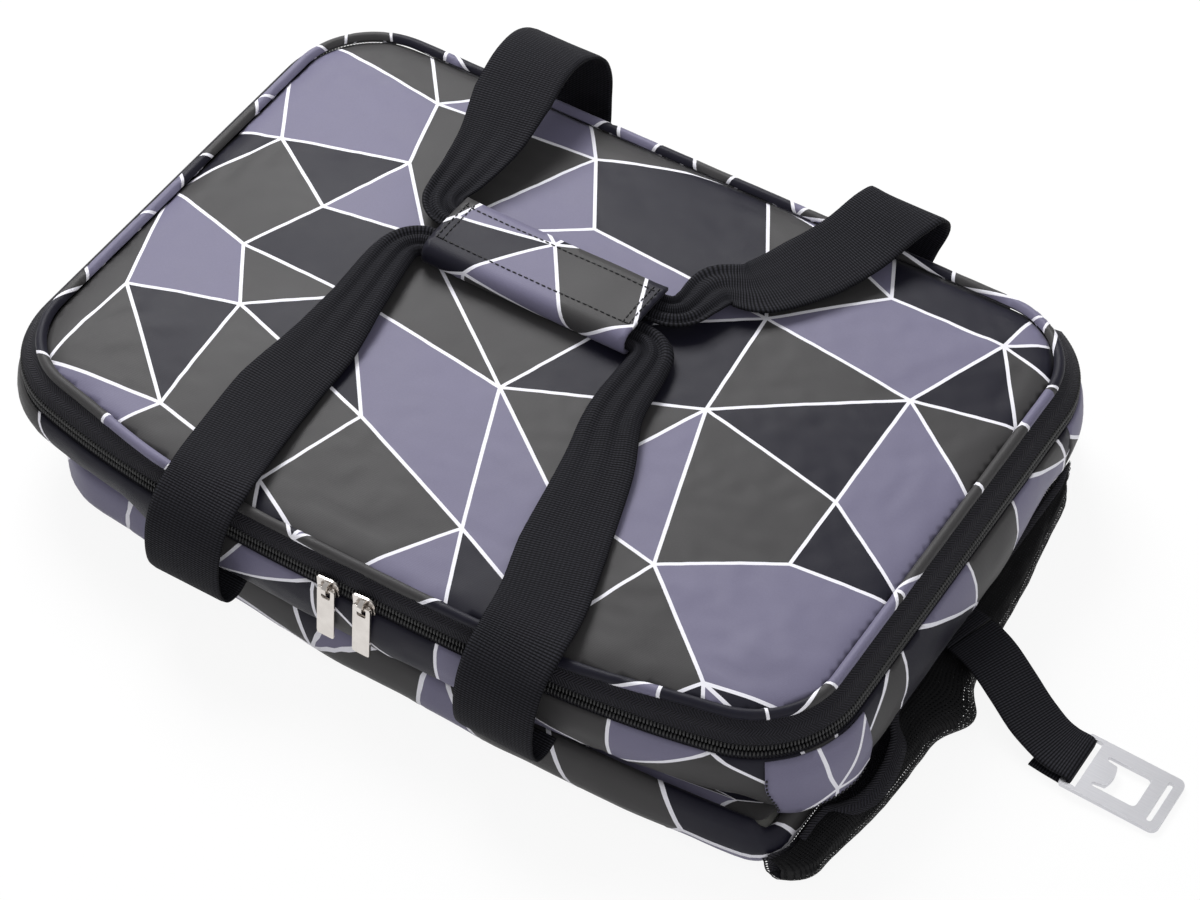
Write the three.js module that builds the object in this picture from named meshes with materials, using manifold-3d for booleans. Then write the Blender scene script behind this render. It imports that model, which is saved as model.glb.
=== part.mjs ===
// A soft cooler bag that folds flat: lid, rim, folded wall and base, with a zipper, two carry handles,
// a mesh side pocket and a bottle opener on a strap. Millimetres, +Z up, +X to the pocket, -Y to the front.
// The origin is in the middle of the flat bottom.
import * as THREE from 'three';
import { mergeVertices } from 'three/addons/utils/BufferGeometryUtils.js';
import Module from 'manifold-3d';

const wasm = await Module();
wasm.setup();

// General clearance between pieces that touch
const GAP = 0.35;

// Zipper line, seen from above. Its front side bows out, furthest at the peak.
const ZIP_LENGTH = 410;
const ZIP_DEPTH = 290.5;
const ZIP_CENTRE_Y = -8.25;
const ZIP_REAR_Y = ZIP_CENTRE_Y + ZIP_DEPTH / 2;
const FRONT_EDGE_Y = ZIP_REAR_Y - ZIP_DEPTH;
const ZIP_CORNER_R = 48;
const ZIP_BOW = 13.2;
const ZIP_BOW_POWER = 3;
const FRONT_FLAT_HALF = 95;
const CORNER_STEPS = 6;
const FRONT_STEPS = 12;

// Zipper
const ZIP_Z = 57;
const COIL_WIDTH = 2.6;
const COIL_THICK = 2.4;
const COIL_SPLIT = 1.6;
const TAPE_THICK = 0.8;
const LID_TAPE_RISE = 5.4;
const TAPE_LEAN_FRONT = 4.4;
const TAPE_LEAN_SIDE = 8;
const RIM_TAPE_DROP = 7;
const ZIP_END_DEG = 60;

// Lid
const PIPING_R = 2.5;
const LID_CROWN = 6;
const COVER_THICK = 1.4;
const LID_LINING_THICK = 1;
const LID_BOTTOM_Z = ZIP_Z + 0.6;

// Rim
const RIM_BOTTOM_Z = ZIP_Z - 27.5;
const RIM_RIGHT_DROP = 7;
const BAND_THICK = 1.5;
const BAND_TOP_OFFSET = 2.3;
const BAND_BULGE = 4.6;
const BAND_RIGHT_FLARE = 4;
const BAND_REAR_TUCK = 1;
const RIM_LEFT_RISE = 4;
const BAND_LEFT_LEAN = 3;
const LEFT_START_X = -98;
const LEFT_FULL_X = -125;
const LEFT_REAR_Y = 40;
const LEFT_FADE = 60;
const EAR_RISE = 19;
const EAR_THICK = 1.2;
const RIM_FOAM_THICK = 6;
const RIM_LINING_THICK = 1;

// Base, against the zipper's line
const BASE_LEFT_X = -ZIP_LENGTH / 2 + 19;
const BASE_RIGHT_X = ZIP_LENGTH / 2 - 3;
const BASE_FRONT_Y = FRONT_EDGE_Y - 4;
const BASE_REAR_Y = ZIP_REAR_Y + 6;
const BASE_PEAK_X = 80;
const BASE_BOW_LEFT = 15;
const BASE_BOW_RIGHT = 6;
const BASE_LEFT_R = 46;
const BASE_RIGHT_R = 16;
const BASE_REAR_R = 36;
const BASE_WALL_H = 21;
const WALL_TOP_INSET = 4.6;
const WALL_SHOULDER = 5;
const BASE_THICK = 1.7;
const BASE_FOOT_INSET = 8;
const BOARD_THICK = 3;
const BASE_FOAM_THICK = 6;
const BASE_LINING_THICK = 1;
const LINING_INSET = 16;
const LINING_R = 40;
const LINING_WALL_TOP = RIM_BOTTOM_Z - 5;
const FOLD_DEPTH = 3;
const FOLD_THICK = 1.2;

// Webbing handles
const WEB_WIDTH = 38;
const WEB_THICK = 1.7;
const WEB_FOLD_WIDTH = 16.6;
const WEB_FOLD_THICK = 3.6;
const HANDLE_X = 83;
const WRAP_LEFT_X = -69;
const WRAP_RIGHT_X = 35;
const WRAP_FRONT_Y = 1.6;
const WRAP_DEPTH = 37.4;
const WRAP_HEIGHT = 12.4;
const WRAP_WALL = 2;
const WRAP_LIP = WRAP_DEPTH - 4.4;
const PATCH_THICK = 1;

// Sliders and pulls
const SLIDER_X = [-9, 9];
const SLIDER_LENGTH = 11;
const SLIDER_WIDTH = 2 * COIL_WIDTH + COIL_SPLIT + 2.8;
const SLIDER_TAIL_WIDTH = SLIDER_WIDTH - 0.8;
const SLIDER_PLATE = 0.9;
const SLIDER_CHANNEL = COIL_THICK + 1.6;
const SLIDER_PLAY = 0.9;
const BAIL_WIDTH = 2.2;
const BAIL_HALF = 3.4;
const BAIL_HEIGHT = 3.7;
const BAIL_WALL = 1.1;
const PULL_WIDTH = 8.6;
const PULL_LENGTH = 27;
const PULL_THICK = 1.4;
const PULL_BAR = 1.2;
const PULL_EYE_LENGTH = 5;
const PULL_EYE_WIDTH = 4.4;

// Mesh pocket
const POCKET_FRONT_Y = BASE_FRONT_Y + BASE_BOW_RIGHT + BASE_RIGHT_R - 1;
const POCKET_REAR_Y = BASE_REAR_Y - BASE_REAR_R;
const POCKET_REACH = 22.5;
const POCKET_LOBE = 9;
const POCKET_LOBE_Y = -38;
const POCKET_LOBE_HALF = 11;
const POCKET_HEIGHT = 15;
const POCKET_THICK = 1.4;
const POCKET_END_REACH = 7;
const POCKET_END_HEIGHT = 12;
const POCKET_SEAM_Z = 9.6;
const POCKET_MOUTH = 0.62;
const BINDING_WIDTH = 12;
const BINDING_THICK = 1.6;

// Opener
const STRAP_WIDTH = 25;
const STRAP_THICK = 1.3;
const PLATE_LENGTH = 45;
const PLATE_WIDTH = 30;
const PLATE_THICK = 2;
const PLATE_CORNER_R = 3.5;
const BAR_DEPTH = 2.4;
const WEB_SLOT = 2 * STRAP_THICK + 2;
const WEB_SLOT_LENGTH = STRAP_WIDTH + 1;
const OPENER_BEND_X = BASE_RIGHT_X + 13;
const OPENER_BAR = { x: BASE_RIGHT_X + 76.5, y: -32, z: 3.4 };

// Helpers

// Closed skin through a grid of points: every row is a closed loop, and the rows run in order.
// With loop the last row meets the first, and without it both ends are closed by a fan.
function skin(rows, loop = false) {
  const count = rows[0].length;
  const positions = rows.flat(2);
  const index = [];
  const last = loop ? rows.length : rows.length - 1;
  for (let i = 0; i < last; i++) {
    const a = i * count;
    const b = ((i + 1) % rows.length) * count;
    for (let j = 0; j < count; j++) {
      const k = (j + 1) % count;
      index.push(a + j, a + k, b + k, a + j, b + k, b + j);
    }
  }
  if (!loop) {
    for (const [row, flip] of [[0, true], [rows.length - 1, false]]) {
      const centre = positions.length / 3;
      positions.push(...middle(rows[row]));
      for (let j = 0; j < count; j++) {
        const p = row * count + j;
        const q = row * count + ((j + 1) % count);
        index.push(...(flip ? [centre, q, p] : [centre, p, q]));
      }
    }
  }
  const geometry = new THREE.BufferGeometry();
  geometry.setAttribute('position', new THREE.Float32BufferAttribute(positions, 3));
  geometry.setIndex(index);
  return facingOut(geometry);
}

function middle(points) {
  const sum = [0, 0, 0];
  for (const p of points) for (let k = 0; k < 3; k++) sum[k] += p[k] / points.length;
  return sum;
}

// Turns the faces outwards where the signed volume is negative
function facingOut(geometry) {
  const p = geometry.getAttribute('position');
  const index = geometry.getIndex().array;
  let volume = 0;
  const [a, b, c] = [new THREE.Vector3(), new THREE.Vector3(), new THREE.Vector3()];
  for (let i = 0; i < index.length; i += 3) {
    a.fromBufferAttribute(p, index[i]);
    b.fromBufferAttribute(p, index[i + 1]);
    c.fromBufferAttribute(p, index[i + 2]);
    volume += a.dot(b.cross(c));
  }
  if (volume < 0) {
    for (let i = 0; i < index.length; i += 3) {
      [index[i + 1], index[i + 2]] = [index[i + 2], index[i + 1]];
    }
  }
  geometry.computeVertexNormals();
  return geometry;
}

function extruded(shape, depth, options = {}) {
  const geometry = new THREE.ExtrudeGeometry(shape, { depth, bevelEnabled: false, curveSegments: 8, ...options });
  return welded(geometry);
}

function welded(geometry) {
  geometry.deleteAttribute('normal');
  geometry.deleteAttribute('uv');
  return mergeVertices(geometry, 1e-4);
}

function toManifold(geometry) {
  const g = welded(geometry.clone());
  return new wasm.Manifold(new wasm.Mesh({
    numProp: 3,
    vertProperties: new Float32Array(g.getAttribute('position').array),
    triVerts: new Uint32Array(g.getIndex().array),
  }));
}

function fromManifold(solid) {
  const mesh = solid.getMesh();
  const geometry = new THREE.BufferGeometry();
  geometry.setAttribute('position', new THREE.Float32BufferAttribute(mesh.vertProperties, 3));
  geometry.setIndex(Array.from(mesh.triVerts));
  geometry.computeVertexNormals();
  return geometry;
}

function joined(...geometries) {
  return fromManifold(geometries.map(toManifold).reduce((whole, next) => whole.add(next)));
}

function smooth(t) {
  const u = Math.min(1, Math.max(0, t));
  return u * u * (3 - 2 * u);
}

function mix(a, b, t) {
  return a + (b - a) * t;
}

// How a bowed front meets a corner: the angle it has there, and the distance from the bow's peak
function bowEnd(cornerX, r, rise, { peak, power }) {
  let angle = 0;
  let reach = 0;
  for (let k = 0; k < 6; k++) {
    reach = Math.abs(cornerX - peak) + r * Math.sin(angle);
    angle = Math.atan((power * rise) / reach);
  }
  return { angle, reach };
}

// Rounded rectangle with its own radius at each corner, counter-clockwise from the rear right corner.
// Its front side is furthest out at bow.peak and draws back by bow.rise at its left and right ends.
// Every outline has the same count of points, so that rows of different outlines can be joined.
function outline({ left, right, front, rear, radii, bow }) {
  const ends = [
    bowEnd(left + radii[2], radii[2], bow.rise[0], bow), bowEnd(right - radii[3], radii[3], bow.rise[1], bow),
  ];
  const tilt = ends.map((e) => THREE.MathUtils.radToDeg(e.angle));
  const depth = ends.map((e, i) => front + bow.rise[i] + radii[i + 2] * Math.cos(e.angle));
  const corners = [
    { x: right - radii[0], y: rear - radii[0], r: radii[0], from: 0, to: 90 },
    { x: left + radii[1], y: rear - radii[1], r: radii[1], from: 90, to: 180 },
    { x: left + radii[2], y: depth[0], r: radii[2], from: 180, to: 270 - tilt[0] },
    { x: right - radii[3], y: depth[1], r: radii[3], from: 270 + tilt[1], to: 360 },
  ];
  const onArc = (corner, degrees) => {
    const angle = THREE.MathUtils.degToRad(degrees);
    const [nx, ny] = [Math.cos(angle), Math.sin(angle)];
    return { x: corner.x + corner.r * nx, y: corner.y + corner.r * ny, nx, ny };
  };
  const inBetween = [[0.33, 0.67], [0.25, 0.5, 0.75], FRONT_STATIONS, [0.25, 0.5, 0.75]];
  const points = [];
  corners.forEach((corner, side) => {
    for (let k = 0; k <= CORNER_STEPS; k++) {
      points.push(onArc(corner, mix(corner.from, corner.to, k / CORNER_STEPS)));
    }
    const a = points[points.length - 1];
    const next = corners[(side + 1) % 4];
    const b = onArc(next, next.from);
    for (const t of inBetween[side]) {
      const x = mix(a.x, b.x, t);
      if (side !== 2) {
        points.push({ x, y: mix(a.y, b.y, t), nx: a.nx, ny: a.ny });
        continue;
      }
      const end = x < bow.peak ? 0 : 1;
      const away = (x - bow.peak) / ends[end].reach;
      const y = front + bow.rise[end] * Math.abs(away) ** bow.power;
      const steepness = bow.power * bow.rise[end] * Math.abs(away) ** (bow.power - 1);
      const slope = (Math.sign(away) * steepness) / ends[end].reach;
      const length = Math.hypot(1, slope);
      points.push({ x, y, nx: slope / length, ny: -1 / length });
    }
  });
  return points;
}

// Fractions along the front at which the bow is followed
const FRONT_STATIONS = Array.from({ length: FRONT_STEPS - 1 }, (_, k) => (k + 1) / FRONT_STEPS);
const STRAIGHT_HALF = ZIP_LENGTH / 2 - ZIP_CORNER_R;

const ZIP_FRONT = { peak: 0, rise: [ZIP_BOW, ZIP_BOW], power: ZIP_BOW_POWER };
const ZIP = outline({
  left: -ZIP_LENGTH / 2, right: ZIP_LENGTH / 2, front: FRONT_EDGE_Y, rear: ZIP_REAR_Y,
  radii: [ZIP_CORNER_R, ZIP_CORNER_R, ZIP_CORNER_R, ZIP_CORNER_R], bow: ZIP_FRONT,
});
const BASE_FRONT = { peak: BASE_PEAK_X, rise: [BASE_BOW_LEFT, BASE_BOW_RIGHT], power: 2 };
const BASE = outline({
  left: BASE_LEFT_X, right: BASE_RIGHT_X, front: BASE_FRONT_Y, rear: BASE_REAR_Y,
  radii: [BASE_REAR_R, BASE_LEFT_R, BASE_LEFT_R, BASE_RIGHT_R], bow: BASE_FRONT,
});

const INNER = outline({
  left: BASE_LEFT_X + LINING_INSET, right: BASE_RIGHT_X - LINING_INSET,
  front: BASE_FRONT_Y + LINING_INSET, rear: BASE_REAR_Y - LINING_INSET,
  radii: [LINING_R, LINING_R, LINING_R, LINING_R], bow: BASE_FRONT,
});

// Y of the zipper's line at a place along the front
function zipFrontAt(x) {
  const { reach } = bowEnd(STRAIGHT_HALF, ZIP_CORNER_R, ZIP_BOW, ZIP_FRONT);
  return FRONT_EDGE_Y + ZIP_BOW * (Math.abs(x) / reach) ** ZIP_BOW_POWER;
}

// A row of an outline, moved outwards by offset and set at height z. Both can follow the point.
function ring(line, offset, z) {
  return line.map((p) => {
    const d = typeof offset === 'function' ? offset(p) : offset;
    const h = typeof z === 'function' ? z(p) : z;
    return [p.x + p.nx * d, p.y + p.ny * d, h];
  });
}

// A row drawn in towards the middle of its box
function shrunk(row, share, z) {
  const box = new THREE.Box2().setFromPoints(row.map((p) => new THREE.Vector2(p[0], p[1])));
  const c = box.getCenter(new THREE.Vector2());
  return row.map((p) => [mix(c.x, p[0], share), mix(c.y, p[1], share), z]);
}

// A closed section, given as [offset, z] pairs or functions, carried along an outline
function swept(line, section, loop = true) {
  const rows = line.map((p) => section(p).map(([d, z]) => [p.x + p.nx * d, p.y + p.ny * d, z]));
  return skin(rows, loop);
}

// The stretch of the outline that carries the zipper: left end, front and right end
function zipStretch() {
  const start = (CORNER_STEPS + 1) + 2 + Math.round(CORNER_STEPS * (1 - ZIP_END_DEG / 90));
  const end = Math.round((CORNER_STEPS * ZIP_END_DEG) / 90);
  return [...ZIP.slice(start), ...ZIP.slice(0, end + 1)];
}

// 1 on the middle of the front, 0 from its ends on
function frontShare(p) {
  return p.ny < -0.6 ? smooth((STRAIGHT_HALF - Math.abs(p.x)) / (STRAIGHT_HALF - FRONT_FLAT_HALF)) : 0;
}

// 1 round the front left corner and on the front half of the left side
function leftShare(p) {
  return smooth((LEFT_START_X - p.x) / (LEFT_START_X - LEFT_FULL_X)) * smooth((LEFT_REAR_Y - p.y) / LEFT_FADE);
}

// 1 on the right-hand side, easing to 0 round its corners
function rightShare(p) {
  return smooth((p.nx - 0.4) / 0.4);
}

function tapeLean(p) {
  return mix(TAPE_LEAN_SIDE, TAPE_LEAN_FRONT, frontShare(p));
}

// Heights derived from the zipper
const LID_COIL_Z = ZIP_Z + COIL_SPLIT / 2;
const LID_TAPE_Z = LID_COIL_Z + COIL_WIDTH + GAP;
const RIM_COIL_Z = ZIP_Z - COIL_SPLIT / 2 - COIL_WIDTH;
const RIM_TOP_Z = ZIP_Z - SLIDER_WIDTH / 2 - GAP;
const PIPING_Z = LID_TAPE_Z + LID_TAPE_RISE + PIPING_R;
const CROWN_Z = PIPING_Z + 0.4 + LID_CROWN;
const WRAP_BOTTOM_Z = CROWN_Z + GAP + PATCH_THICK;

// Lid

function pipingOffset(p) {
  return -tapeLean(p) - PIPING_R * 0.4;
}

function lidEdgeOffset(p) {
  return pipingOffset(p) - PIPING_R - GAP;
}

// Height of the lid's cover at a share of the way from its edge to the middle
function crownHeight(share) {
  return PIPING_Z + 0.4 + LID_CROWN * Math.sin((Math.PI / 2) * share ** 0.8);
}

function lidCover() {
  const edge = ring(ZIP, lidEdgeOffset, PIPING_Z - PIPING_R);
  const steps = [0.06, 0.16, 0.3, 0.5, 0.75];
  const outer = steps.map((s) => shrunk(edge, 1 - s, crownHeight(s)));
  const inner = steps.map((s) => shrunk(edge, 1 - s - 0.008, crownHeight(s) - COVER_THICK)).reverse();
  const lip = ring(ZIP, (p) => lidEdgeOffset(p) - COVER_THICK, PIPING_Z - PIPING_R);
  return skin([
    ...outer.slice().reverse(),
    shrunk(edge, 0.997, PIPING_Z + 0.6),
    edge,
    lip,
    ring(ZIP, (p) => lidEdgeOffset(p) - COVER_THICK, PIPING_Z - 0.7),
    ...inner.reverse(),
  ]);
}

function lidFoam() {
  const clear = (p) => lidEdgeOffset(p) - COVER_THICK - GAP;
  const edge = ring(ZIP, clear, LID_BOTTOM_Z + LID_LINING_THICK + GAP);
  const steps = [0.06, 0.16, 0.3, 0.5, 0.75];
  return skin([
    edge,
    ring(ZIP, clear, PIPING_Z - 1.6),
    ...steps.map((s) => shrunk(edge, 1 - s - 0.012, crownHeight(s) - COVER_THICK - GAP - 0.25)),
  ]);
}

function lidLining() {
  const inset = (p) => lidEdgeOffset(p) - COVER_THICK - GAP;
  return skin([
    ring(ZIP, (p) => inset(p) - 1, LID_BOTTOM_Z),
    ring(ZIP, inset, LID_BOTTOM_Z + 0.5),
    ring(ZIP, inset, LID_BOTTOM_Z + LID_LINING_THICK),
  ]);
}

function lidPiping() {
  const sides = 8;
  return swept(ZIP, (p) => Array.from({ length: sides }, (_, k) => {
    const angle = (2 * Math.PI * k) / sides;
    return [pipingOffset(p) + PIPING_R * Math.cos(angle), PIPING_Z + PIPING_R * Math.sin(angle)];
  }));
}

// Tape between the coil and the piping, leaning in, and most over the sides
function lidTape() {
  return swept(zipStretch(), (p) => {
    const lean = tapeLean(p);
    const top = PIPING_Z - PIPING_R - GAP;
    return [
      [TAPE_THICK / 2, LID_TAPE_Z],
      [TAPE_THICK / 2 - lean, top],
      [-TAPE_THICK / 2 - lean, top],
      [-TAPE_THICK / 2, LID_TAPE_Z],
    ];
  }, false);
}

function coil(bottom) {
  const half = COIL_THICK / 2;
  const chamfer = 0.6;
  return swept(zipStretch(), () => [
    [half, bottom + chamfer], [half, bottom + COIL_WIDTH - chamfer],
    [half - chamfer, bottom + COIL_WIDTH], [-half + chamfer, bottom + COIL_WIDTH],
    [-half, bottom + COIL_WIDTH - chamfer], [-half, bottom + chamfer],
    [-half + chamfer, bottom], [half - chamfer, bottom],
  ], false);
}

// Rim

function rimBottom(p) {
  return RIM_BOTTOM_Z - RIM_RIGHT_DROP * rightShare(p) + RIM_LEFT_RISE * leftShare(p);
}

// On the right the band's hem stands out at the front and tucks in towards the rear
function bandFlare(p) {
  return rightShare(p) * mix(BAND_RIGHT_FLARE, -BAND_REAR_TUCK, smooth((p.y - 20) / 60));
}

// Outer face of the rim band at a share of the way down from its top
function bandOffset(p, share) {
  const bulge = (BAND_BULGE - BAND_TOP_OFFSET) * Math.sin(Math.PI * share);
  return BAND_TOP_OFFSET + bulge + bandFlare(p) * share - BAND_LEFT_LEAN * leftShare(p) * share ** 2;
}

function rimBand() {
  const shares = [0, 0.35, 0.7, 0.92];
  return swept(ZIP, (p) => {
    const bottom = rimBottom(p);
    const at = (share, inward) => [bandOffset(p, share) - inward, mix(RIM_TOP_Z, bottom, share)];
    return [
      ...shares.map((s) => at(s, 0)),
      [bandOffset(p, 1) - BAND_THICK * 0.6, bottom],
      ...shares.slice().reverse().map((s) => at(s, BAND_THICK)),
    ];
  });
}

// Tape that hangs from the rim's coil, down behind the band
function rimTape() {
  const half = TAPE_THICK / 2;
  const [top, low] = [RIM_COIL_Z - GAP, RIM_COIL_Z - GAP - RIM_TAPE_DROP];
  return swept(zipStretch(), () => [[half, top], [half, low], [-half, low], [-half, top]], false);
}

// The foam stands behind the sliders' inner plates
const FOAM_OFFSET = -(SLIDER_CHANNEL / 2 + SLIDER_PLATE + GAP);

function rimFoam() {
  const inner = FOAM_OFFSET - RIM_FOAM_THICK;
  const [top, bottom] = [ZIP_Z - 2.6, RIM_BOTTOM_Z + 1.5];
  return swept(ZIP, () => [
    [FOAM_OFFSET, bottom], [FOAM_OFFSET, top - 1.5], [FOAM_OFFSET - 1.5, top],
    [inner + 1.5, top], [inner, top - 1.5], [inner, bottom],
  ]);
}

const RIM_LINING_OFFSET = FOAM_OFFSET - RIM_FOAM_THICK - GAP;
const RIM_LINING_Z = RIM_BOTTOM_Z + 1;

function rimLining() {
  const [outer, inner] = [RIM_LINING_OFFSET, RIM_LINING_OFFSET - RIM_LINING_THICK];
  const top = ZIP_Z - 3.2;
  return swept(ZIP, () => [[outer, RIM_LINING_Z], [outer, top], [inner, top], [inner, RIM_LINING_Z]]);
}

// Fabric hinge along the rear edge: it comes up from behind the band and curls in under the lid
const HINGE_R = 4;
const HINGE_THICK = 1;
const HINGE_TAIL = 6;
const HINGE_HALF = ZIP_LENGTH / 2 - ZIP_CORNER_R - 4;

function hingeStrip() {
  const face = ZIP_REAR_Y + BAND_TOP_OFFSET - BAND_THICK - GAP;
  const bend = RIM_TOP_Z + 2;
  const arc = (r) => [0, 30, 60, 90, 115].map((deg) => {
    const a = THREE.MathUtils.degToRad(deg);
    return [face - HINGE_R + r * Math.cos(a), bend + r * Math.sin(a)];
  });
  const section = [
    [face, RIM_TOP_Z - HINGE_TAIL], ...arc(HINGE_R), ...arc(HINGE_R - HINGE_THICK).reverse(),
    [face - HINGE_THICK, RIM_TOP_Z - HINGE_TAIL],
  ];
  const shape = new THREE.Shape(section.map(([y, z]) => new THREE.Vector2(y, z)));
  const geometry = extruded(shape, 2 * HINGE_HALF);
  geometry.rotateX(Math.PI / 2);
  geometry.rotateZ(Math.PI / 2);
  geometry.translate(-HINGE_HALF, 0, 0);
  return geometry;
}

// Tab that closes an end of the zipper, on the rear corner
function zipTab(side) {
  const end = side > 0 ? zipStretch().at(-1) : zipStretch()[0];
  const [w, t, h] = [7, 2.6, 4.2];
  const geometry = new THREE.BoxGeometry(w, t, h);
  const angle = Math.atan2(end.ny, end.nx) + Math.PI / 2;
  geometry.rotateZ(angle);
  const along = side > 0 ? 1 : -1;
  const shift = w / 2 + GAP;
  const [tx, ty] = [-end.ny * along * shift, end.nx * along * shift];
  geometry.translate(end.x + tx, end.y + ty, RIM_TOP_Z + GAP + h / 2);
  return welded(geometry);
}

// Base

function baseCover() {
  const t = BASE_THICK;
  return skin([
    ring(BASE, -BASE_FOOT_INSET, 0),
    ring(BASE, -2.4, 3.6),
    ring(BASE, 0, 10),
    ring(BASE, -0.6, BASE_WALL_H - WALL_SHOULDER),
    ring(BASE, -WALL_TOP_INSET, BASE_WALL_H),
    ring(BASE, -WALL_TOP_INSET - t, BASE_WALL_H - 0.5),
    ring(BASE, -0.6 - t, BASE_WALL_H - WALL_SHOULDER - 0.6),
    ring(BASE, -t, 10),
    ring(BASE, -2.4 - t, 4.4),
    ring(BASE, -BASE_FOOT_INSET - 1, t),
  ]);
}

function pad(inset, bottom, thick) {
  return skin([ring(BASE, -inset, bottom), ring(BASE, -inset, bottom + thick)]);
}

const BOARD_Z = BASE_THICK + GAP;
const BASE_FOAM_Z = BOARD_Z + BOARD_THICK + GAP;
const BASE_LINING_Z = BASE_FOAM_Z + BASE_FOAM_THICK + GAP;

function baseLining() {
  const [t, z] = [BASE_LINING_THICK, BASE_LINING_Z];
  return skin([
    ring(INNER, -2, z),
    ring(INNER, 0, z + 2),
    ring(INNER, 0, LINING_WALL_TOP),
    ring(INNER, -t, LINING_WALL_TOP),
    ring(INNER, -t, z + 2.4),
    ring(INNER, -2.6, z + t),
  ]);
}

// A pleat from a line of the base up to the zipper's line, folded in by depth at half height
function pleat(line, baseOffset, rimOffset, bottom, topOf, depth, thick) {
  const rows = line.map((b, i) => {
    const r = ZIP[i];
    const top = topOf(r);
    const low = [b.x + b.nx * baseOffset, b.y + b.ny * baseOffset];
    const high = [r.x + r.nx * rimOffset, r.y + r.ny * rimOffset];
    const [nx, ny] = [(b.nx + r.nx) / 2, (b.ny + r.ny) / 2];
    const point = (share, inward, z) => [
      mix(low[0], high[0], share) - nx * inward, mix(low[1], high[1], share) - ny * inward, z,
    ];
    const mid = (bottom + top) / 2;
    return [
      point(0, 0, bottom), point(0.5, depth, mid), point(1, 0, top),
      point(1, thick, top), point(0.5, depth + thick * 1.5, mid), point(0, thick, bottom),
    ];
  });
  return skin(rows, true);
}

function wallBellows() {
  const bottom = BASE_WALL_H + GAP;
  const top = (p) => Math.max(Math.min(rimBottom(p), RIM_BOTTOM_Z) - GAP, bottom + 0.5);
  return pleat(BASE, -WALL_TOP_INSET - 0.6, -1, bottom, top, FOLD_DEPTH, FOLD_THICK);
}

function liningBellows() {
  const top = () => RIM_LINING_Z - GAP;
  return pleat(INNER, 0, RIM_LINING_OFFSET, LINING_WALL_TOP + GAP, top, FOLD_DEPTH, 1);
}

// Mesh pocket on the right-hand side

// Share of the pocket's full reach at a place along Y: 0 at both seams, and most towards the front
function pocketShare(y) {
  const t = (y - POCKET_FRONT_Y) / (POCKET_REAR_Y - POCKET_FRONT_Y);
  return Math.sin(Math.PI * t ** 0.67) ** 0.9;
}

const POCKET_SEAM_X = BASE_RIGHT_X + GAP;
const POCKET_STATIONS = 18;

function pocketRows(section) {
  return Array.from({ length: POCKET_STATIONS + 1 }, (_, k) => {
    const t = mix(0.015, 0.985, k / POCKET_STATIONS);
    const y = mix(POCKET_FRONT_Y, POCKET_REAR_Y, t);
    return section(pocketShare(y), y).map(([x, z]) => [POCKET_SEAM_X + x, y, z]);
  });
}

function pocketReach(s, y) {
  const lobe = Math.exp(-(((y - POCKET_LOBE_Y) / POCKET_LOBE_HALF) ** 2));
  return mix(POCKET_END_REACH, POCKET_REACH, s) + POCKET_LOBE * lobe;
}

function pocketHeight(s) {
  return mix(POCKET_END_HEIGHT, POCKET_HEIGHT, s);
}

// From the seam down to the floor, out along it, up round the bulge and back to the mouth
function pocketMesh() {
  const t = POCKET_THICK;
  return skin(pocketRows((s, y) => {
    const [reach, high] = [pocketReach(s, y), pocketHeight(s)];
    return [
      [0, POCKET_SEAM_Z], [1, 2.4], [3.4, 0], [reach * 0.8, 0], [reach, high * 0.4],
      [reach * 0.86, high * 0.85], [reach * POCKET_MOUTH, high],
      [reach * POCKET_MOUTH, high - t], [reach * 0.86 - t * 0.8, high * 0.85 - t * 0.8],
      [reach - t, high * 0.42], [reach * 0.8 - t * 0.4, t], [3.4 + t * 0.4, t], [1 + t, 3], [t, POCKET_SEAM_Z],
    ];
  }));
}

// Elastic along the pocket's mouth
function pocketBinding() {
  const [w, t] = [BINDING_WIDTH, BINDING_THICK];
  return skin(pocketRows((s, y) => {
    const high = pocketHeight(s);
    const outer = pocketReach(s, y) * POCKET_MOUTH - GAP;
    const inner = outer - w * mix(0.25, 1, s);
    return [[inner, high + 0.6], [outer, high + 0.1], [outer, high - t], [inner, high + 0.6 - t]];
  }));
}

// Webbing

// A strip along hand-set stations: centre, width, thickness and the heading of its width in plan
function webbing(stations, steps = 2) {
  const curve = (pick) => new THREE.CatmullRomCurve3(stations.map(pick), false, 'centripetal');
  const centres = curve((s) => new THREE.Vector3(...s.at));
  const count = (stations.length - 1) * steps;
  const rows = [];
  for (let i = 0; i <= count; i++) {
    const u = i / count;
    const place = u * (stations.length - 1);
    const k = Math.min(stations.length - 2, Math.floor(place));
    const f = place - k;
    const [a, b] = [stations[k], stations[k + 1]];
    const centre = centres.getPoint(u);
    const tangent = centres.getTangent(u);
    const across = new THREE.Vector3(...a.across).lerp(new THREE.Vector3(...b.across), smooth(f));
    across.addScaledVector(tangent, -across.dot(tangent)).normalize();
    const normal = new THREE.Vector3().crossVectors(tangent, across);
    const half = mix(a.width, b.width, f) / 2;
    const thick = mix(a.thick, b.thick, f) / 2;
    rows.push([[-half, -thick], [half, -thick], [half, thick], [-half, thick]].map(([w, n]) => (
      centre.clone().addScaledVector(across, w).addScaledVector(normal, n).toArray())));
  }
  return skin(rows);
}

function station(at, across, width = WEB_WIDTH, thick = WEB_THICK) {
  return { at, across, width, thick };
}

const WRAP_MID_Z = WRAP_BOTTOM_Z + WRAP_HEIGHT / 2 - 0.3;
const FRONT_WEB_Y = WRAP_FRONT_Y + WRAP_WALL + 3 * GAP + WEB_FOLD_WIDTH / 2;
const REAR_WEB_Y = FRONT_WEB_Y + WEB_FOLD_WIDTH + 2 * GAP;
const TURN_R = 12;

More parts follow.
